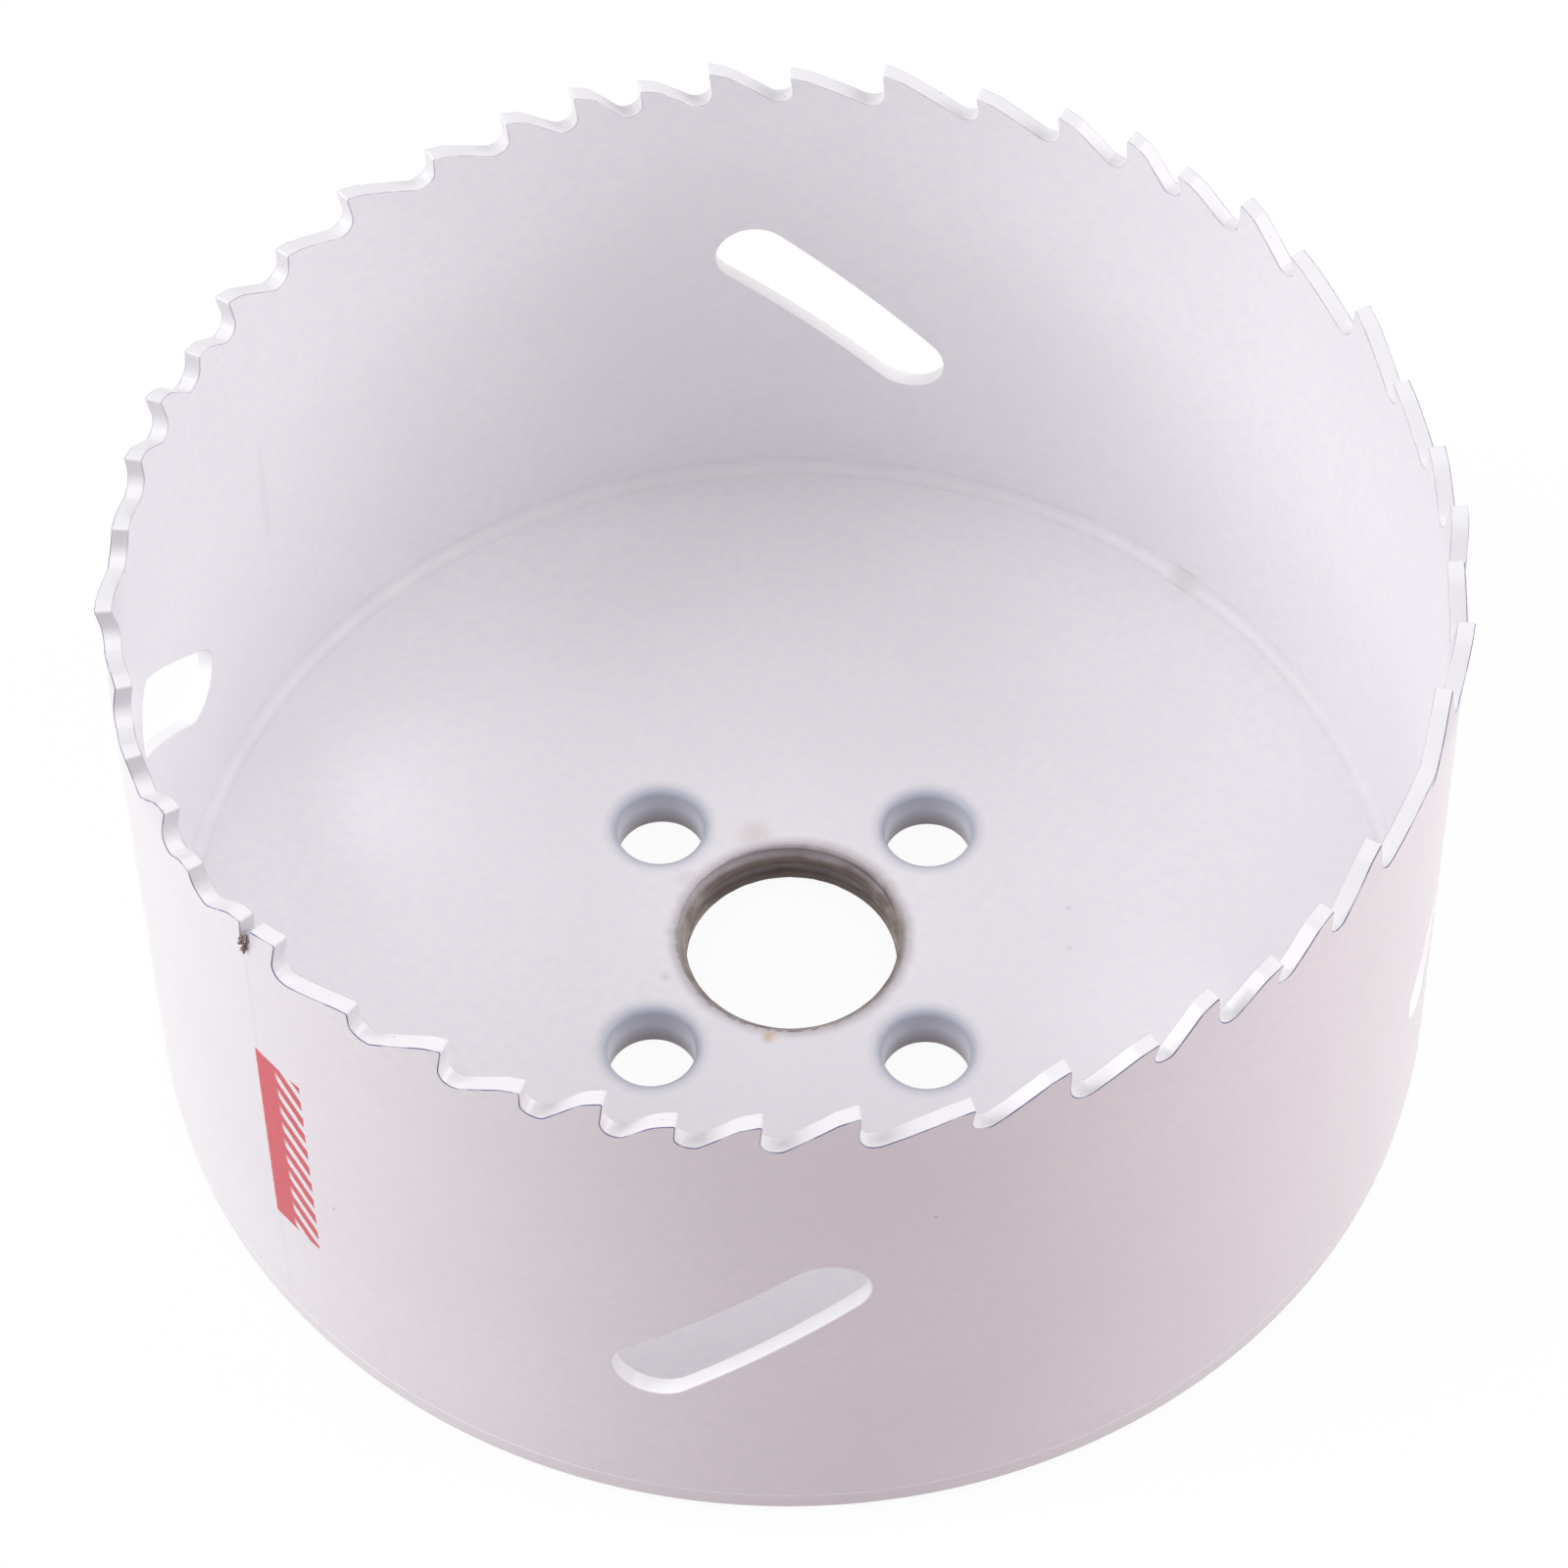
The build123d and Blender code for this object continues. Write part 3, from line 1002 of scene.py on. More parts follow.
# ---------------------------------------------------------------- the saw
@dataclass(frozen=True)
class ToothRule:
    """How the teeth are cut into the strip: groups of seven with a varied pitch and set."""

    groups: int = 7
    pitches: tuple = (6.35 * MM, 5.95 * MM, 5.25 * MM, 4.65 * MM, 4.30 * MM, 4.80 * MM, 5.55 * MM)
    sets: tuple = (1, -1, 1, -1, 1, 0, -1)
    set_reach: float = 0.35 * MM
    depth: float = 2.5 * MM
    floor: float = 1.05 * MM
    gullet_radius: float = 0.85 * MM
    foot_radius: float = 0.7 * MM
    rake_angle: float = 5.0
    land: float = 1.3 * MM
    land_angle: float = 19.0
    land_radius: float = 2.0 * MM
    tip_radius: float = 0.14 * MM
    notch_width: float = 0.5 * MM
    notch_depth: float = 1.7 * MM
    notch_drop: float = 0.7 * MM
    notch_radius: float = 0.12 * MM


@dataclass
class ToothedBand:
    """The rolled strip with its teeth and its four slanted slots.

    Attributes:
        outer: radius of its outer face.
        low: level of its lower edge.
        tips: level of the tooth tips.
    """

    outer: float
    low: float
    tips: float
    wall: float = 1.1 * MM
    edge_radius: float = 0.1 * MM
    seam_azimuth: float = -138.6
    slot_azimuths: tuple = (-93.0, -8.5, 87.0, 171.5)
    slot_length: float = 19.3 * MM
    slot_width: float = 5.0 * MM
    slot_slant: float = 43.5
    slot_level: float = 20.35 * MM
    slot_steps: int = 20
    grid: float = 1.5 * MM
    arc_step: float = 14.0
    drawing_start: float = 0.75
    teeth: ToothRule = field(default_factory=ToothRule)

    @property
    def middle(self) -> float:
        """Radius of the middle of the wall."""
        return self.outer - self.wall / 2

    @property
    def length(self) -> float:
        """Length of the strip along its middle."""
        return TURN * self.middle

    def tip_places(self) -> list[tuple[float, int]]:
        """Each tip's distance along the strip from the butt joint, and the side it is set to."""
        rule = self.teeth
        pitches = list(rule.pitches) * rule.groups
        sides = list(rule.sets) * rule.groups
        pitches[-1] = self.length - sum(pitches[:-1])
        order = [len(pitches) - 1, *range(len(pitches) - 1)]
        places, along = [], 0.0
        for number in order:
            along += pitches[number]
            places.append((along, sides[number]))
        return places

    def start(self) -> float:
        """Where the strip is cut for its drawing: in the gullet after the joint's short tooth."""
        return self.tip_places()[0][0] + self.drawing_start * self.teeth.floor

    def rim(self) -> list[Point]:
        """The toothed upper edge, from the drawing's start to its end."""
        rule = self.teeth
        tips = [along for along, _ in self.tip_places()]
        first = tips[0]
        floor_level = self.tips - rule.depth
        foot = rule.depth * math.tan(math.radians(rule.rake_angle))
        drop = rule.land * math.tan(math.radians(rule.land_angle))
        corners = [((self.start(), floor_level), 0.0)]
        for behind, tip in zip(tips, tips[1:]):
            if behind != first:
                corners.append(((behind - foot, floor_level), rule.gullet_radius))
            corners.append(((behind + rule.floor, floor_level), rule.foot_radius))
            corners.append(((tip - rule.land, self.tips - drop), rule.land_radius))
            corners.append(((tip, self.tips), rule.tip_radius))
        corners += self._joint_notch(tips[-1], first)
        corners.append(((tips[-1] + first - foot, floor_level), rule.gullet_radius))
        corners.append(((self.start() + self.length, floor_level), 0.0))
        return rounded(corners, step=self.arc_step, longest=LONGEST_LINE)

    def _joint_notch(self, last: float, short: float) -> list[tuple[Point, float]]:
        """Corners of the notch at the butt joint and of the short tooth behind it."""
        rule = self.teeth
        foot = rule.notch_depth * math.tan(math.radians(rule.rake_angle))
        bottom = self.tips - rule.notch_depth
        return [
            ((last - foot, bottom), rule.notch_radius),
            ((last + rule.notch_width, bottom), rule.notch_radius),
            ((last + rule.notch_width, self.tips - rule.notch_drop), rule.notch_radius),
            ((last + short, self.tips), rule.tip_radius)]

    def slot(self, azimuth: float) -> list[Point]:
        """Outline of a slot, clockwise, as cut square through the rolled wall."""
        radius = self.slot_width / 2
        reach = self.slot_length / 2 - radius
        centre = math.radians(azimuth - self.seam_azimuth) % TURN * self.middle
        slant = math.radians(self.slot_slant)
        line = []
        for end in (1, -1):
            for number in range(self.slot_steps + 1):
                angle = math.pi / 2 - math.pi * number / self.slot_steps
                cos, sin = math.cos(angle), math.sin(angle)
                line.append(np.array([end * (reach + radius * cos), end * radius * sin]))
        line.append(line[0])
        points = []
        for x, y in divided(line, LONGEST_LINE)[:-1]:
            across = x * math.cos(slant) - y * math.sin(slant)
            rise = x * math.sin(slant) + y * math.cos(slant)
            along = centre + math.asin(across / self.middle) * self.middle
            points.append((along, self.slot_level + rise))
        return points

    def side_of(self, along: float, level: float) -> float:
        """Set of the tooth that a place on the strip belongs to."""
        if level < self.tips - self.teeth.depth:
            return 0.0
        along = (along - NEAR) % self.length
        border = self.teeth.floor / 2
        for tip, side in self.tip_places():
            reach = self.teeth.notch_width / 2 if abs(tip - self.length) < NEAR else border
            if along <= tip + reach:
                return float(side)
        return float(self.tip_places()[0][1])

    def build(self, finish: BandFinish) -> bpy.types.Object:
        """Draws the strip flat, rolls it and sets its teeth.

        Args:
            finish: its paint.

        Returns:
            The finished piece.
        """
        sheet = SheetShape(self.wall, self.grid)
        start = self.start()
        ends = [np.array([start, self.low]), np.array([start + self.length, self.low])]
        low = divided(ends, LONGEST_LINE)
        edges = [Edge(low, False, self.edge_radius, self.length),
                 Edge(self.rim()[::-1], False, self.edge_radius, self.length)]
        holes = [Edge(self.slot(azimuth), True, self.edge_radius) for azimuth in self.slot_azimuths]
        sheet.build(edges, holes)
        mesh = sheet.mesh("toothed_band_painted")
        store_numbers(mesh, "tooth_side", [self.side_of(p.x, p.z) for p in sheet.points])
        piece = new_piece("toothed_band_painted", mesh)
        self._roll_graph(finish.material()).apply(piece)
        face_outwards(piece.data)
        use_stored_normals(piece.data, "rolled_normal")
        ride_as(piece, "toothed_band")
        return piece

    def _roll_graph(self, material: bpy.types.Material) -> ShapeGraph:
        """The tree that rolls the flat strip into a ring and leans its teeth."""
        graph = ShapeGraph("roll_strip")
        radius = graph.given("Wall Radius", self.middle)
        azimuth = graph.given("Joint Azimuth", math.radians(self.seam_azimuth))
        floor_level = graph.given("Gullet Level", self.tips - self.teeth.depth)
        tip_level = graph.given("Tip Level", self.tips)
        reach = graph.given("Tooth Set", self.teeth.set_reach)
        along, across, up = graph.position()
        lean = graph.stored("tooth_side") * reach * up.ramp(floor_level, tip_level)
        angle = azimuth + along / radius
        cos, sin = angle.cosine(), angle.sine()
        out = radius + across + lean
        on, off, rise = graph.split(graph.stored("flat_normal", "FLOAT_VECTOR"))
        turned = graph.vector(off * cos - on * sin, off * sin + on * cos, rise)
        kept = graph.node("GeometryNodeStoreNamedAttribute", {"data_type": "FLOAT_VECTOR", "domain": "POINT"},
                          {"Geometry": graph.geometry, "Name": "rolled_normal", "Value": turned})[0]
        graph.close(graph.place(kept, graph.vector(out * cos, out * sin, up)), material)
        return graph


@dataclass(frozen=True)
class RoundHole:
    """A hole through the plate: its centre, radius, the rounding of its edges and its points round."""

    centre: Point
    radius: float
    soft: float
    count: int


@dataclass
class BackingPlate:
    """The turned plate: tapered rim, raised middle, threaded bore and four pin holes.

    Attributes:
        outer: radius of its rim.
        thickness: height of its raised middle.
        shoulder: height of the rim.
        spigot: radius of the raised middle.
    """

    outer: float
    thickness: float
    shoulder: float
    spigot: float
    rim_taper: float = 5.0
    rim_radius: float = 0.9 * MM
    shoulder_edge: float = 0.12 * MM
    crest_radius: float = 6.88 * MM
    root_radius: float = 7.94 * MM
    thread_pitch: float = 25.4 / 18 * MM
    thread_phase: float = -0.376
    bore_chamfer: float = 0.6 * MM
    bore_guard: float = 0.25 * MM
    pin_circle: float = 12.5 * MM
    pin_radius: float = 2.85 * MM
    pin_count: int = 4
    pin_phase: float = 45.0
    pin_edge: float = 0.45 * MM
    pin_points: int = 64
    groove_mouth: float = 3 / 8     # from the middle of a groove, as a share of the pitch
    groove_floor: float = 1 / 16
    run_out: float = 0.12 * MM      # depth over which the thread gives way to the plain edge
    shoulder_steps: int = 3
    rim_steps: int = 8
    rim_count: int = 288
    bore_count: int = 180
    bore_rows: int = 72

    @property
    def bore_edge(self) -> float:
        """Radius of the bore at the plate's faces."""
        return self.crest_radius + self.bore_chamfer

    def holes(self) -> list[RoundHole]:
        """The pin holes."""
        found = []
        for number in range(self.pin_count):
            angle = math.radians(self.pin_phase) + TURN * number / self.pin_count
            centre = (self.pin_circle * math.cos(angle), self.pin_circle * math.sin(angle))
            found.append(RoundHole(centre, self.pin_radius, self.pin_edge, self.pin_points))
        return found

    def rim_profile(self) -> list[tuple[float, float, float, float]]:
        """Radius, level and normal of the outside, from the top face down to the base."""
        soft, steps = self.shoulder_edge, self.shoulder_steps
        taper = math.radians(self.rim_taper)
        base = self.outer - self.shoulder * math.tan(taper)
        rows = []

        def arc(centre: Point, radius: float, start: float, end: float, count: int) -> None:
            """Adds the rows of one rounding."""
            for number in range(count + 1):
                a = math.radians(start + (end - start) * number / count)
                rows.append((centre[0] + radius * math.cos(a), centre[1] + radius * math.sin(a),
                             math.cos(a), math.sin(a)))

        arc((self.spigot - soft, self.thickness - soft), soft, 90, 0, steps)
        rows.append((self.spigot, self.shoulder, 1, 0))
        rows.append((self.spigot, self.shoulder, 0, 1))
        arc((self.outer - soft, self.shoulder - soft), soft, 90, -self.rim_taper, steps + 1)
        side = self.rim_radius
        middle = (base - side * (1 / math.cos(taper) - math.tan(taper)), side)
        arc(middle, side, -self.rim_taper, -90, self.rim_steps)
        return rows

    def build(self, finish: PlateFinish) -> bpy.types.Object:
        """Builds the plate, cuts its thread and paints it."""
        shape = PlateShape(self)
        piece = new_piece("backing_plate_painted", shape.mesh("backing_plate_painted"))
        self._thread_graph(finish.material()).apply(piece)
        face_outwards(piece.data)
        use_stored_normals(piece.data, "plate_normal")
        ride_as(piece, "backing_plate")
        return piece

    def _thread_graph(self, material: bpy.types.Material) -> ShapeGraph:
        """The tree that cuts a right-hand thread and its two chamfers into the bore's wall."""
        graph = ShapeGraph("cut_thread")
        crest = graph.given("Crest Radius", self.crest_radius)
        root = graph.given("Root Radius", self.root_radius)
        pitch = graph.given("Pitch", self.thread_pitch)
        height = graph.given("Height", self.thickness)
        chamfer = graph.given("Chamfer", self.bore_chamfer)
        start = graph.given("Thread Phase", self.thread_phase)
        x, y, z = graph.position()
        angle = graph.turn_of(x, y)
        phase = (z / pitch - angle / TURN + start).fraction()
        from_groove = abs(phase - 0.5)
        groove = from_groove.ramp(self.groove_mouth, self.groove_floor)
        thread = crest + (root - crest) * groove
        inset = z.smallest(height - z)
        cone = crest + chamfer - inset
        cut = thread.largest(cone)
        end = inset.ramp(0.0, self.run_out)
        radius = (crest + chamfer) * (1 - end) + cut * end
        on_wall = graph.stored("bore_wall")
        placed = graph.vector(angle.cosine() * radius, angle.sine() * radius, z)
        made = graph.node("GeometryNodeSetPosition", None,
                          {"Geometry": graph.geometry, "Selection": on_wall > 0.5, "Position": placed})[0]
        graph.close(made, material)
        return graph


class PlateShape:
    """Mesh of the plate, before its thread is cut."""

    def __init__(self, plate: BackingPlate) -> None:
        self.plate = plate
        self.points: list[tuple] = []
        self.normals: list[tuple] = []
        self.bore: list[float] = []
        self.faces: list[tuple] = []
        self._build()

    def _add(self, point: tuple, normal: tuple, bore: float = 0.0) -> int:
        """Adds a point and returns its number."""
        self.points.append(point)
        self.normals.append(normal)
        self.bore.append(bore)
        return len(self.points) - 1

    def _join_rows(self, rows: list[list[int]]) -> None:
        """Joins each closed row to the next with faces."""
        for upper, lower in zip(rows, rows[1:]):
            self.faces += joined(upper, lower)

    def _ring(self, centre: Point, radius: float, level: float, count: int,
              across: float, rise: float, bore: float = 0.0) -> list[int]:
        """Adds a level circle of points whose normal has a part along the radius and a part upwards."""
        row = []
        for number in range(count):
            a = TURN * number / count
            cos, sin = math.cos(a), math.sin(a)
            point = (centre[0] + radius * cos, centre[1] + radius * sin, level)
            row.append(self._add(point, (across * cos, across * sin, rise), bore))
        return row

    def _build(self) -> None:
        """Builds the rim, the holes, the bore and the two faces."""
        plate = self.plate
        rim = [self._ring((0, 0), r, z, plate.rim_count, nr, nz) for r, z, nr, nz in plate.rim_profile()]
        self._join_rows(rim)
        tops, bottoms = [], []
        for hole in plate.holes():
            top, bottom = self._pin_hole(hole)
            tops.append(top)
            bottoms.append(bottom)
        top, bottom = self._bore()
        self._face(rim[0], [*tops, top], plate.thickness, 1)
        self._face(rim[-1], [*bottoms, bottom], 0.0, -1)

    def _pin_hole(self, hole: RoundHole) -> tuple[list[int], list[int]]:
        """Adds a plain hole with rounded edges and returns its rows on the two faces."""
        rows, steps = [], 4
        for side in (1, -1):
            turns = range(steps + 1) if side > 0 else range(steps, -1, -1)
            for number in turns:
                a = math.pi / 2 * number / steps
                radius = hole.radius + hole.soft * (1 - math.sin(a))
                inset = hole.soft * (1 - math.cos(a))
                level = self.plate.thickness - inset if side > 0 else inset
                rows.append(self._ring(hole.centre, radius, level, hole.count,
                                       -math.sin(a), side * math.cos(a)))
        self._join_rows(rows)
        return rows[0], rows[-1]

    def _bore(self) -> tuple[list[int], list[int]]:
        """Adds the bore's wall as an even grid and returns its rows on the two faces."""
        plate = self.plate
        edge, wide = plate.bore_edge, plate.bore_edge + plate.bore_guard
        rim_top = self._ring((0, 0), edge, plate.thickness, plate.bore_count, 0, 1)
        rim_bottom = self._ring((0, 0), edge, 0.0, plate.bore_count, 0, -1)
        wide_top = self._ring((0, 0), wide, plate.thickness, plate.bore_count, 0, 1)
        wide_bottom = self._ring((0, 0), wide, 0.0, plate.bore_count, 0, -1)
        self._join_rows([wide_top, rim_top])
        self._join_rows([rim_bottom, wide_bottom])
        rows = []
        for number in range(plate.bore_rows + 1):
            level = plate.thickness * (1 - number / plate.bore_rows)
            rows.append(self._ring((0, 0), plate.crest_radius, level, plate.bore_count, 0, 0, 1.0))
        self._join_rows(rows)
        return wide_top, wide_bottom

    def _face(self, border: list[int], inner: list[list[int]], level: float, side: int) -> None:
        """Fills the top or the base with triangles between its loops."""
        known, flat, limits = loops_to_fill([border, *inner], lambda n: self.points[n][:2])
        holes = [[self.points[n][:2] for n in loop] for loop in inner]
        self.faces += filled(known, flat, limits, holes,
                             lambda place: self._add((place.x, place.y, level), (0, 0, side)))

    def mesh(self, name: str) -> bpy.types.Mesh:
        """The plate as a Blender mesh."""
        mesh = bpy.data.meshes.new(name)
        mesh.from_pydata(self.points, [], self.faces)
        store_vectors(mesh, "plate_normal", [Vector(n) for n in self.normals])
        store_numbers(mesh, "bore_wall", self.bore)
        return mesh


@dataclass
class CornerWeld:
    """The bead round the inside corner, laid in one pass with a lump where it starts and stops."""

    wall: float
    floor: float
    leg: float
    ripple: float = 0.022 * MM
    ripple_count: int = 210
    lump: float = 0.26 * MM
    lump_azimuth: float = 49.0
    lump_width: float = 3.2
    uneven_size: float = 3 * MM
    uneven_share: float = 2.2
    count: int = 720
    section_steps: int = 8

    def build(self, finish: WeldFinish) -> bpy.types.Object:
        """Builds the bead, ripples it and paints it."""
        points, faces, swell, normals = [], [], [], []
        rows = []
        for radius, level, share, across, rise in self._section():
            row = []
            for number in range(self.count):
                a = TURN * number / self.count
                cos, sin = math.cos(a), math.sin(a)
                points.append((radius * cos, radius * sin, level))
                normals.append(Vector((across * cos, across * sin, rise)))
                swell.append(share)
                row.append(len(points) - 1)
            rows.append(row)
        for upper, lower in zip(rows, rows[1:] + rows[:1]):
            faces += joined(upper, lower)
        mesh = bpy.data.meshes.new("corner_weld_bead")
        mesh.from_pydata(points, [], faces)
        store_numbers(mesh, "swell", swell)
        store_vectors(mesh, "bead_normal", normals)
        piece = new_piece("corner_weld_bead", mesh)
        self._ripple_graph(finish.material()).apply(piece)
        face_outwards(piece.data)
        use_stored_normals(piece.data, "bead_normal")
        ride_as(piece, "corner_weld")
        return piece

    def _section(self) -> list[tuple[float, float, float, float, float]]:
        """The hollow bead's section, from the wall to the plate and back.

        Returns:
            Radius, level, swell share and the normal's two parts at each point. Only the two toes state a
            normal, so that the bead runs smoothly into the wall and the plate.
        """
        face = []
        for number in range(self.section_steps + 1):
            share = number / self.section_steps
            a = -math.pi / 2 * share
            radius = self.wall - self.leg + self.leg * math.cos(a)
            level = self.floor + self.leg + self.leg * math.sin(a)
            toe = {0: (-1.0, 0.0), self.section_steps: (0.0, 1.0)}.get(number, (0.0, 0.0))
            face.append((radius, level, math.sin(math.pi * share), *toe))
        return face + [(self.wall, self.floor, 0.0, 0.0, 0.0)]

    def _ripple_graph(self, material: bpy.types.Material) -> ShapeGraph:
        """The tree that swells the bead in ripples along its run."""
        graph = ShapeGraph("lay_bead")
        depth = graph.given("Ripple Depth", self.ripple)
        count = graph.given("Ripples", float(self.ripple_count))
        lump = graph.given("Lump Depth", self.lump)
        lump_at = graph.given("Lump Azimuth", math.radians(self.lump_azimuth))
        x, y, z = graph.position()
        angle = graph.turn_of(x, y)
        noise = graph.node("ShaderNodeTexNoise", {"noise_dimensions": "3D"},
                           {"Vector": graph.vector(x, y, z), "Scale": 1 / self.uneven_size, "Detail": 3.0})[0]
        wave = (angle * count).sine() * 0.5 + (noise - 0.5) * self.uneven_share
        near = abs(angle - lump_at).ease(math.radians(self.lump_width), 0.0)
        swell = graph.stored("swell") * (wave * depth + near * lump)
        step = swell * math.sqrt(0.5)
        placed = graph.vector(x - angle.cosine() * step, y - angle.sine() * step, z + step)
        graph.close(graph.place(graph.geometry, placed), material)
        return graph


@dataclass
class WeldFlash:
    """The burnt flash that the butt weld left hanging on the outside of the notch."""

    outer: float
    tips: float
    azimuth: float
    length: float = 1.0 * MM
    grain: float = 0.19 * MM
    count: int = 16
    seed: int = 4
    out: float = 0.02 * MM
    top_drop: float = 1.35 * MM
    spread: float = 0.22 * MM
    bump_share: float = 1.5
    bump_fineness: float = 2.2
    smallest: tuple = (0.25, 0.25, 0.5)
    largest: tuple = (0.7, 0.7, 1.5)

    def build(self, finish: BurntScale) -> bpy.types.Object:
        """Builds the flash from overlapping grains along a short upright line."""
        mesh = bpy.data.meshes.new("weld_flash")
        piece = new_piece("weld_flash", mesh)
        self._grain_graph(finish.material()).apply(piece)
        ride_as(piece)
        return piece

    def _grain_graph(self, material: bpy.types.Material) -> ShapeGraph:
        """The tree that strings the grains down the wall."""
        graph = ShapeGraph("string_grains")
        count = graph.given("Grains", self.count)
        length = graph.given("Length", self.length)
        grain = graph.given("Grain Size", self.grain)
        seed = graph.given("Seed", self.seed)
        angle = math.radians(self.azimuth)
        reach = self.outer + self.out
        top = (reach * math.cos(angle), reach * math.sin(angle), self.tips - self.top_drop)
        line = graph.node("GeometryNodeMeshLine", {"mode": "OFFSET", "count_mode": "TOTAL"},
                          {"Count": count, "Start Location": top,
                           "Offset": graph.vector(0.0, 0.0, length * -1.0 / self.count)})[0]
        spread = graph.node("FunctionNodeRandomValue", {"data_type": "FLOAT_VECTOR"},
                            {0: (-self.spread,) * 3, 1: (self.spread,) * 3, "Seed": seed})[0]
        moved = graph.node("GeometryNodeSetPosition", None, {"Geometry": line, "Offset": spread})[0]
        ball = graph.node("GeometryNodeMeshIcoSphere", None, {"Radius": grain, "Subdivisions": 3})[0]
        bumps = graph.node("ShaderNodeTexNoise", {"noise_dimensions": "3D"},
                           {"Scale": self.bump_fineness / self.grain})[0]
        normal = graph.node("GeometryNodeInputNormal")[0]
        push = graph.node("ShaderNodeVectorMath", {"operation": "SCALE"},
                          {0: normal, "Scale": (bumps - 0.5) * grain * self.bump_share})[0]
        rough = graph.node("GeometryNodeSetPosition", None, {"Geometry": ball, "Offset": push})[0]
        turn = graph.node("FunctionNodeRandomValue", {"data_type": "FLOAT_VECTOR"},
                          {0: (0.0,) * 3, 1: (TURN,) * 3, "Seed": seed + 1})[0]
        scale = graph.node("FunctionNodeRandomValue", {"data_type": "FLOAT_VECTOR"},
                           {0: self.smallest, 1: self.largest, "Seed": seed + 2})[0]
        grains = graph.node("GeometryNodeInstanceOnPoints", None,
                            {"Points": moved, "Instance": rough, "Rotation": turn, "Scale": scale})[0]
        graph.close(grains, material)
        return graph


# ---------------------------------------------------------------- studio
@dataclass(frozen=True)
class Softbox:
    """A rectangular lamp that faces the saw."""

    name: str
    azimuth: float
    elevation: float
    distance: float
    size: tuple[float, float]
    power: float
    colour: Colour = (1.0, 1.0, 1.0)

    def build(self, target: Vector) -> None:
        """Puts the lamp into the scene."""
        light = bpy.data.lights.new(self.name, "AREA")
        light.shape = "RECTANGLE"
        light.size, light.size_y = self.size
        light.energy = self.power
        light.color = self.colour
        lamp = bpy.data.objects.new(self.name, light)
        away = direction(self.azimuth, self.elevation)
        lamp.location = target + away * self.distance
        lamp.rotation_mode = "QUATERNION"
        lamp.rotation_quaternion = (-away).to_track_quat("-Z", "Y")
        bpy.context.scene.collection.objects.link(lamp)


def direction(azimuth: float, elevation: float) -> Vector:
    """Unit vector towards a lamp or the camera; azimuth 0 is the side that faces -Y."""
    a, e = math.radians(azimuth), math.radians(elevation)
    return Vector((math.sin(a) * math.cos(e), -math.cos(a) * math.cos(e), math.sin(e)))


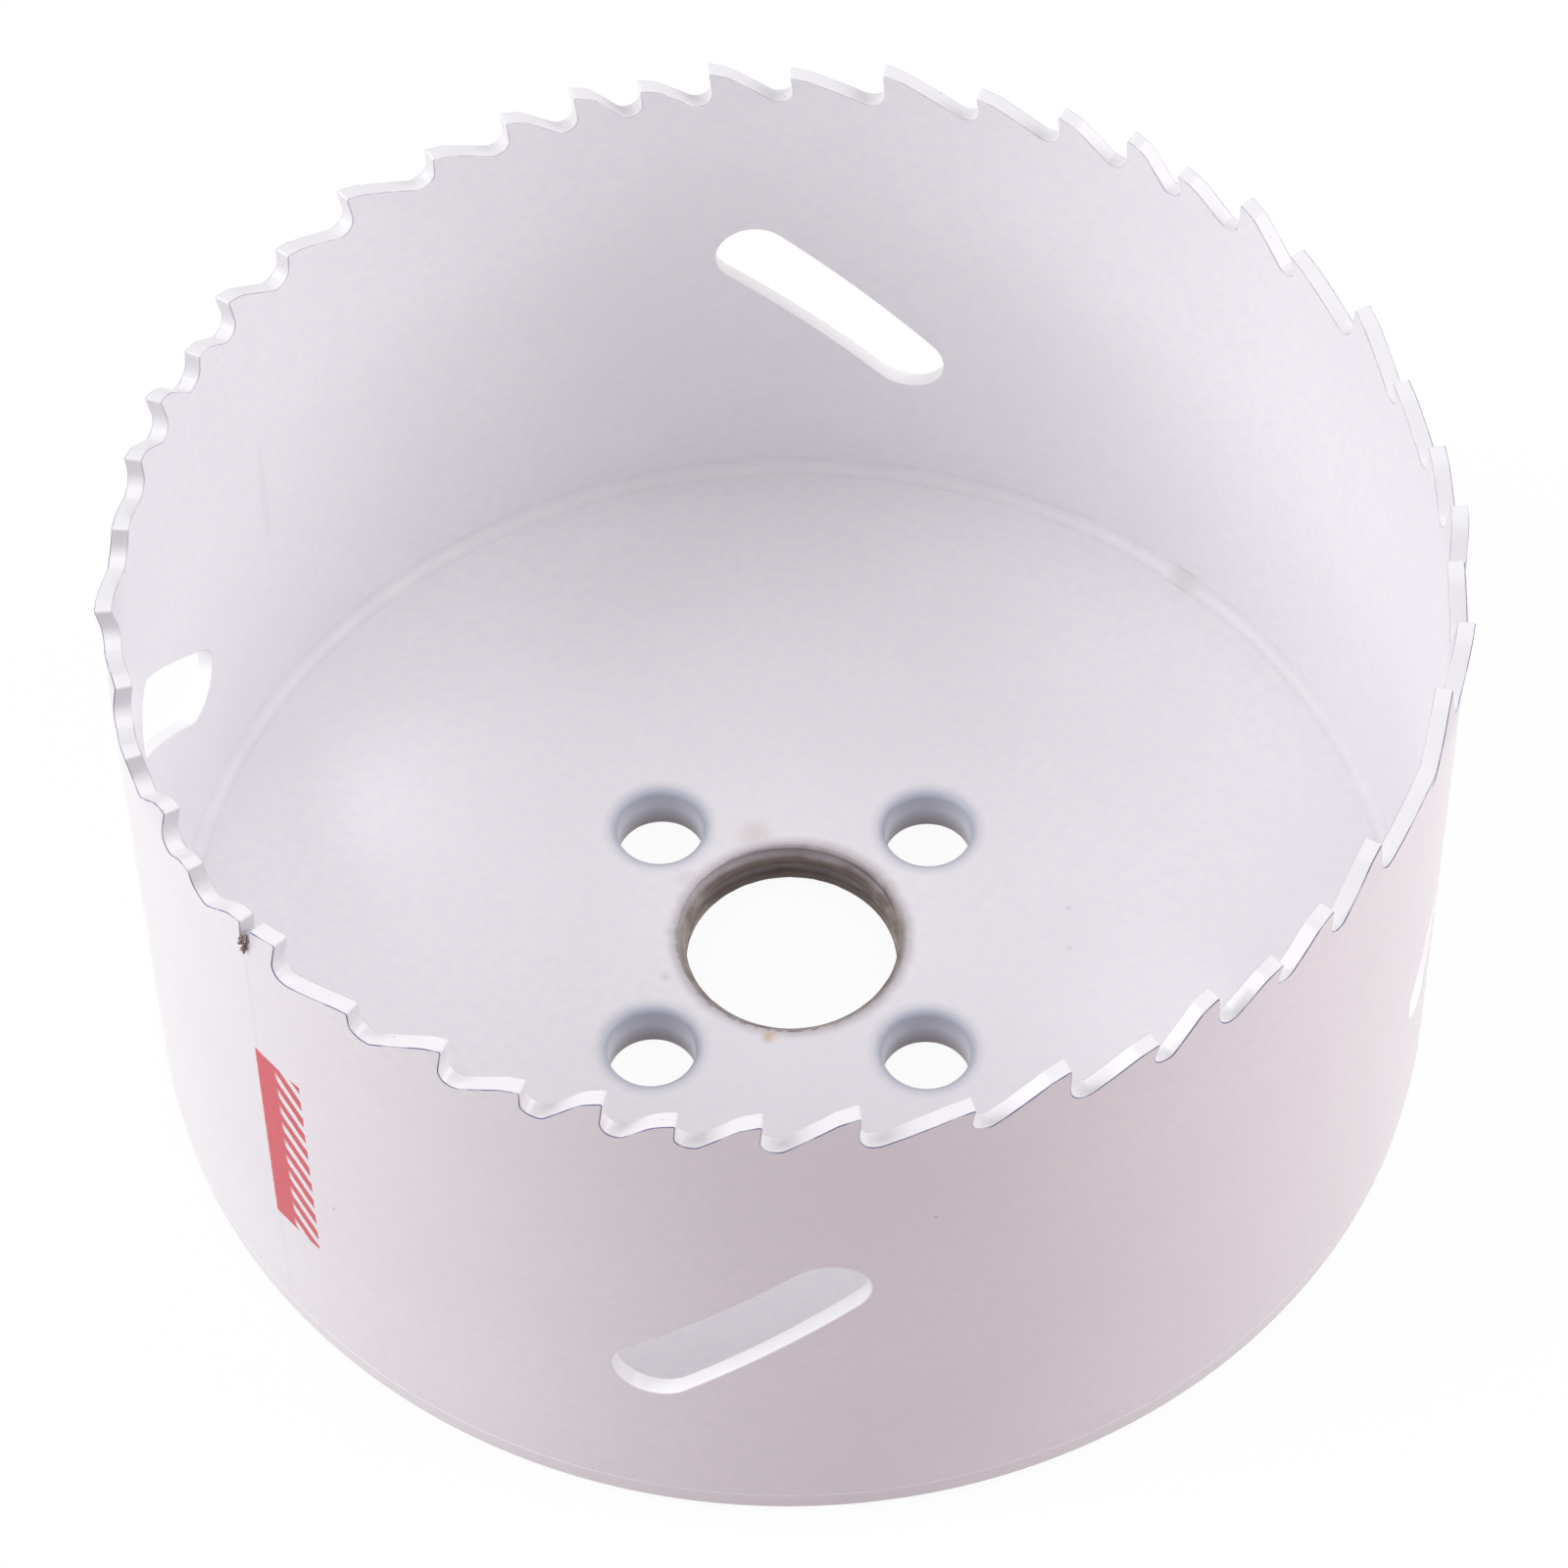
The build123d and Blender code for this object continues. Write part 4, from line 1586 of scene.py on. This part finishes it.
@dataclass(frozen=True)
class Studio:
    """White floor, soft lamps, a white room and the camera."""

    target: Vector
    camera_azimuth: float = 1.9575
    camera_elevation: float = 52.848
    camera_distance: float = 0.3867
    camera_roll: float = -1.076
    focal_pixels: float = 6262.1
    image_width: float = 1600.0
    sensor_width: float = 36.0
    floor_size: float = 6.0
    floor_gap: float = 0.02 * MM
    floor_glow: float = 0.93
    floor_seen: Colour = (0.95, 0.95, 0.95)
    floor_left: Colour = (0.40, 0.355, 0.385)
    floor_right: Colour = (0.43, 0.26, 0.305)
    tint_reach: float = 0.10
    world_strength: float = 0.55

    def build(self) -> None:
        """Builds the floor, the lamps, the world and the camera."""
        self._floor()
        self._world()
        self._camera()
        for box in self._lamps():
            box.build(self.target)

    def _lamps(self) -> list[Softbox]:
        """The softboxes: one on each side and one overhead."""
        return [
            Softbox("left_softbox", -82, 33, 0.55, (0.4, 0.4), 2.05),
            Softbox("right_softbox", 92, 33, 0.55, (0.4, 0.4), 1.72),
            Softbox("top_softbox", -10, 84, 0.7, (0.5, 0.4), 0.28),
        ]

    def _floor(self) -> None:
        """A white floor that keeps the saw's shadow and reads as plain white beyond it."""
        half = self.floor_size / 2
        mesh = bpy.data.meshes.new("studio_floor")
        corners = [(-half, -half, 0), (half, -half, 0), (half, half, 0), (-half, half, 0)]
        mesh.from_pydata(corners, [], [(0, 1, 2, 3)])
        floor = new_piece("studio_floor", mesh)
        floor.location.z = -self.floor_gap
        graph = FinishGraph("studio_floor")
        seen = graph.seen()
        tint = graph.mix(graph.x.ease(-self.tint_reach, self.tint_reach), self.floor_left, self.floor_right)
        colour = graph.mix(seen, tint, self.floor_seen)
        plain = graph.node("ShaderNodeBsdfDiffuse", None, {"Color": colour})[0]
        white = graph.node("ShaderNodeEmission", None, {"Color": (1, 1, 1, 1), "Strength": 1.0})[0]
        mixed = graph.node("ShaderNodeMixShader", None, {0: seen * self.floor_glow, 1: plain, 2: white})[0]
        graph.node("ShaderNodeOutputMaterial", None, {"Surface": mixed})
        floor.data.materials.append(graph.material)

    def _world(self) -> None:
        """A plain white room, brighter to the camera and in reflections than it is as a light."""
        world = bpy.data.worlds.new("studio_room")
        world.use_nodes = True
        graph = NodeGraph(world.node_tree)
        graph.tree.nodes.clear()
        seen = graph.seen()
        lit, white = [graph.node("ShaderNodeBackground", None, {"Color": (1, 1, 1, 1), "Strength": strength})[0]
                      for strength in (self.world_strength, 1.0)]
        mixed = graph.node("ShaderNodeMixShader", None, {0: seen, 1: lit, 2: white})[0]
        graph.node("ShaderNodeOutputWorld", None, {"Surface": mixed})
        bpy.context.scene.world = world

    def _camera(self) -> None:
        """The camera, rolled a little about its own axis."""
        scene = bpy.context.scene
        data = bpy.data.cameras.new("camera")
        data.sensor_width = self.sensor_width
        data.lens = self.focal_pixels / self.image_width * data.sensor_width
        data.clip_start, data.clip_end = 0.01, 20.0
        camera = bpy.data.objects.new("camera", data)
        back = direction(self.camera_azimuth, self.camera_elevation)
        right = Vector((0, 0, 1)).cross(back).normalized()
        up = back.cross(right)
        roll = math.radians(self.camera_roll)
        side = right * math.cos(roll) + up * math.sin(roll)
        top = up * math.cos(roll) - right * math.sin(roll)
        camera.matrix_world = Matrix.Translation(self.target + back * self.camera_distance) @ Matrix(
            (side, top, back)).transposed().to_4x4()
        scene.collection.objects.link(camera)
        scene.camera = camera


def clear_scene() -> None:
    """Empties the start-up scene."""
    for thing in list(bpy.data.objects):
        bpy.data.objects.remove(thing)


def main() -> None:
    """Builds the saw on its frame, then the studio round it."""
    logging.basicConfig(level=logging.INFO, format="%(name)s %(message)s")
    clear_scene()
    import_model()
    _, plate_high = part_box("backing_plate")
    weld_low, weld_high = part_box("corner_weld")
    band_low, band_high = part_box("toothed_band")
    outer = plate_high.x
    shoulder = band_low.z
    paint = SatinPaint()

    band = ToothedBand(outer, shoulder, band_high.z)
    band.build(BandFinish(paint, band.seam_azimuth, band.tips - band.teeth.depth, outer))
    inner = outer - band.wall
    plate = BackingPlate(outer, plate_high.z, shoulder, inner - SPIGOT_CLEARANCE)
    pin_place = plate.holes()[0].centre[0]
    plate.build(PlateFinish(paint, plate.bore_edge, pin_place, plate.pin_radius, plate.pin_edge,
                            plate.thickness))
    weld = CornerWeld(inner, plate_high.z, weld_high.z - weld_low.z)
    weld.build(WeldFinish(paint, weld.lump_azimuth, inner))
    WeldFlash(outer, band.tips, band.seam_azimuth + FLASH_TURN).build(BurntScale())

    view_settings = bpy.context.scene.view_settings
    view_settings.view_transform = "Standard"
    Studio(Vector(STUDIO_TARGET)).build()


if __name__ == "__main__":
    main()
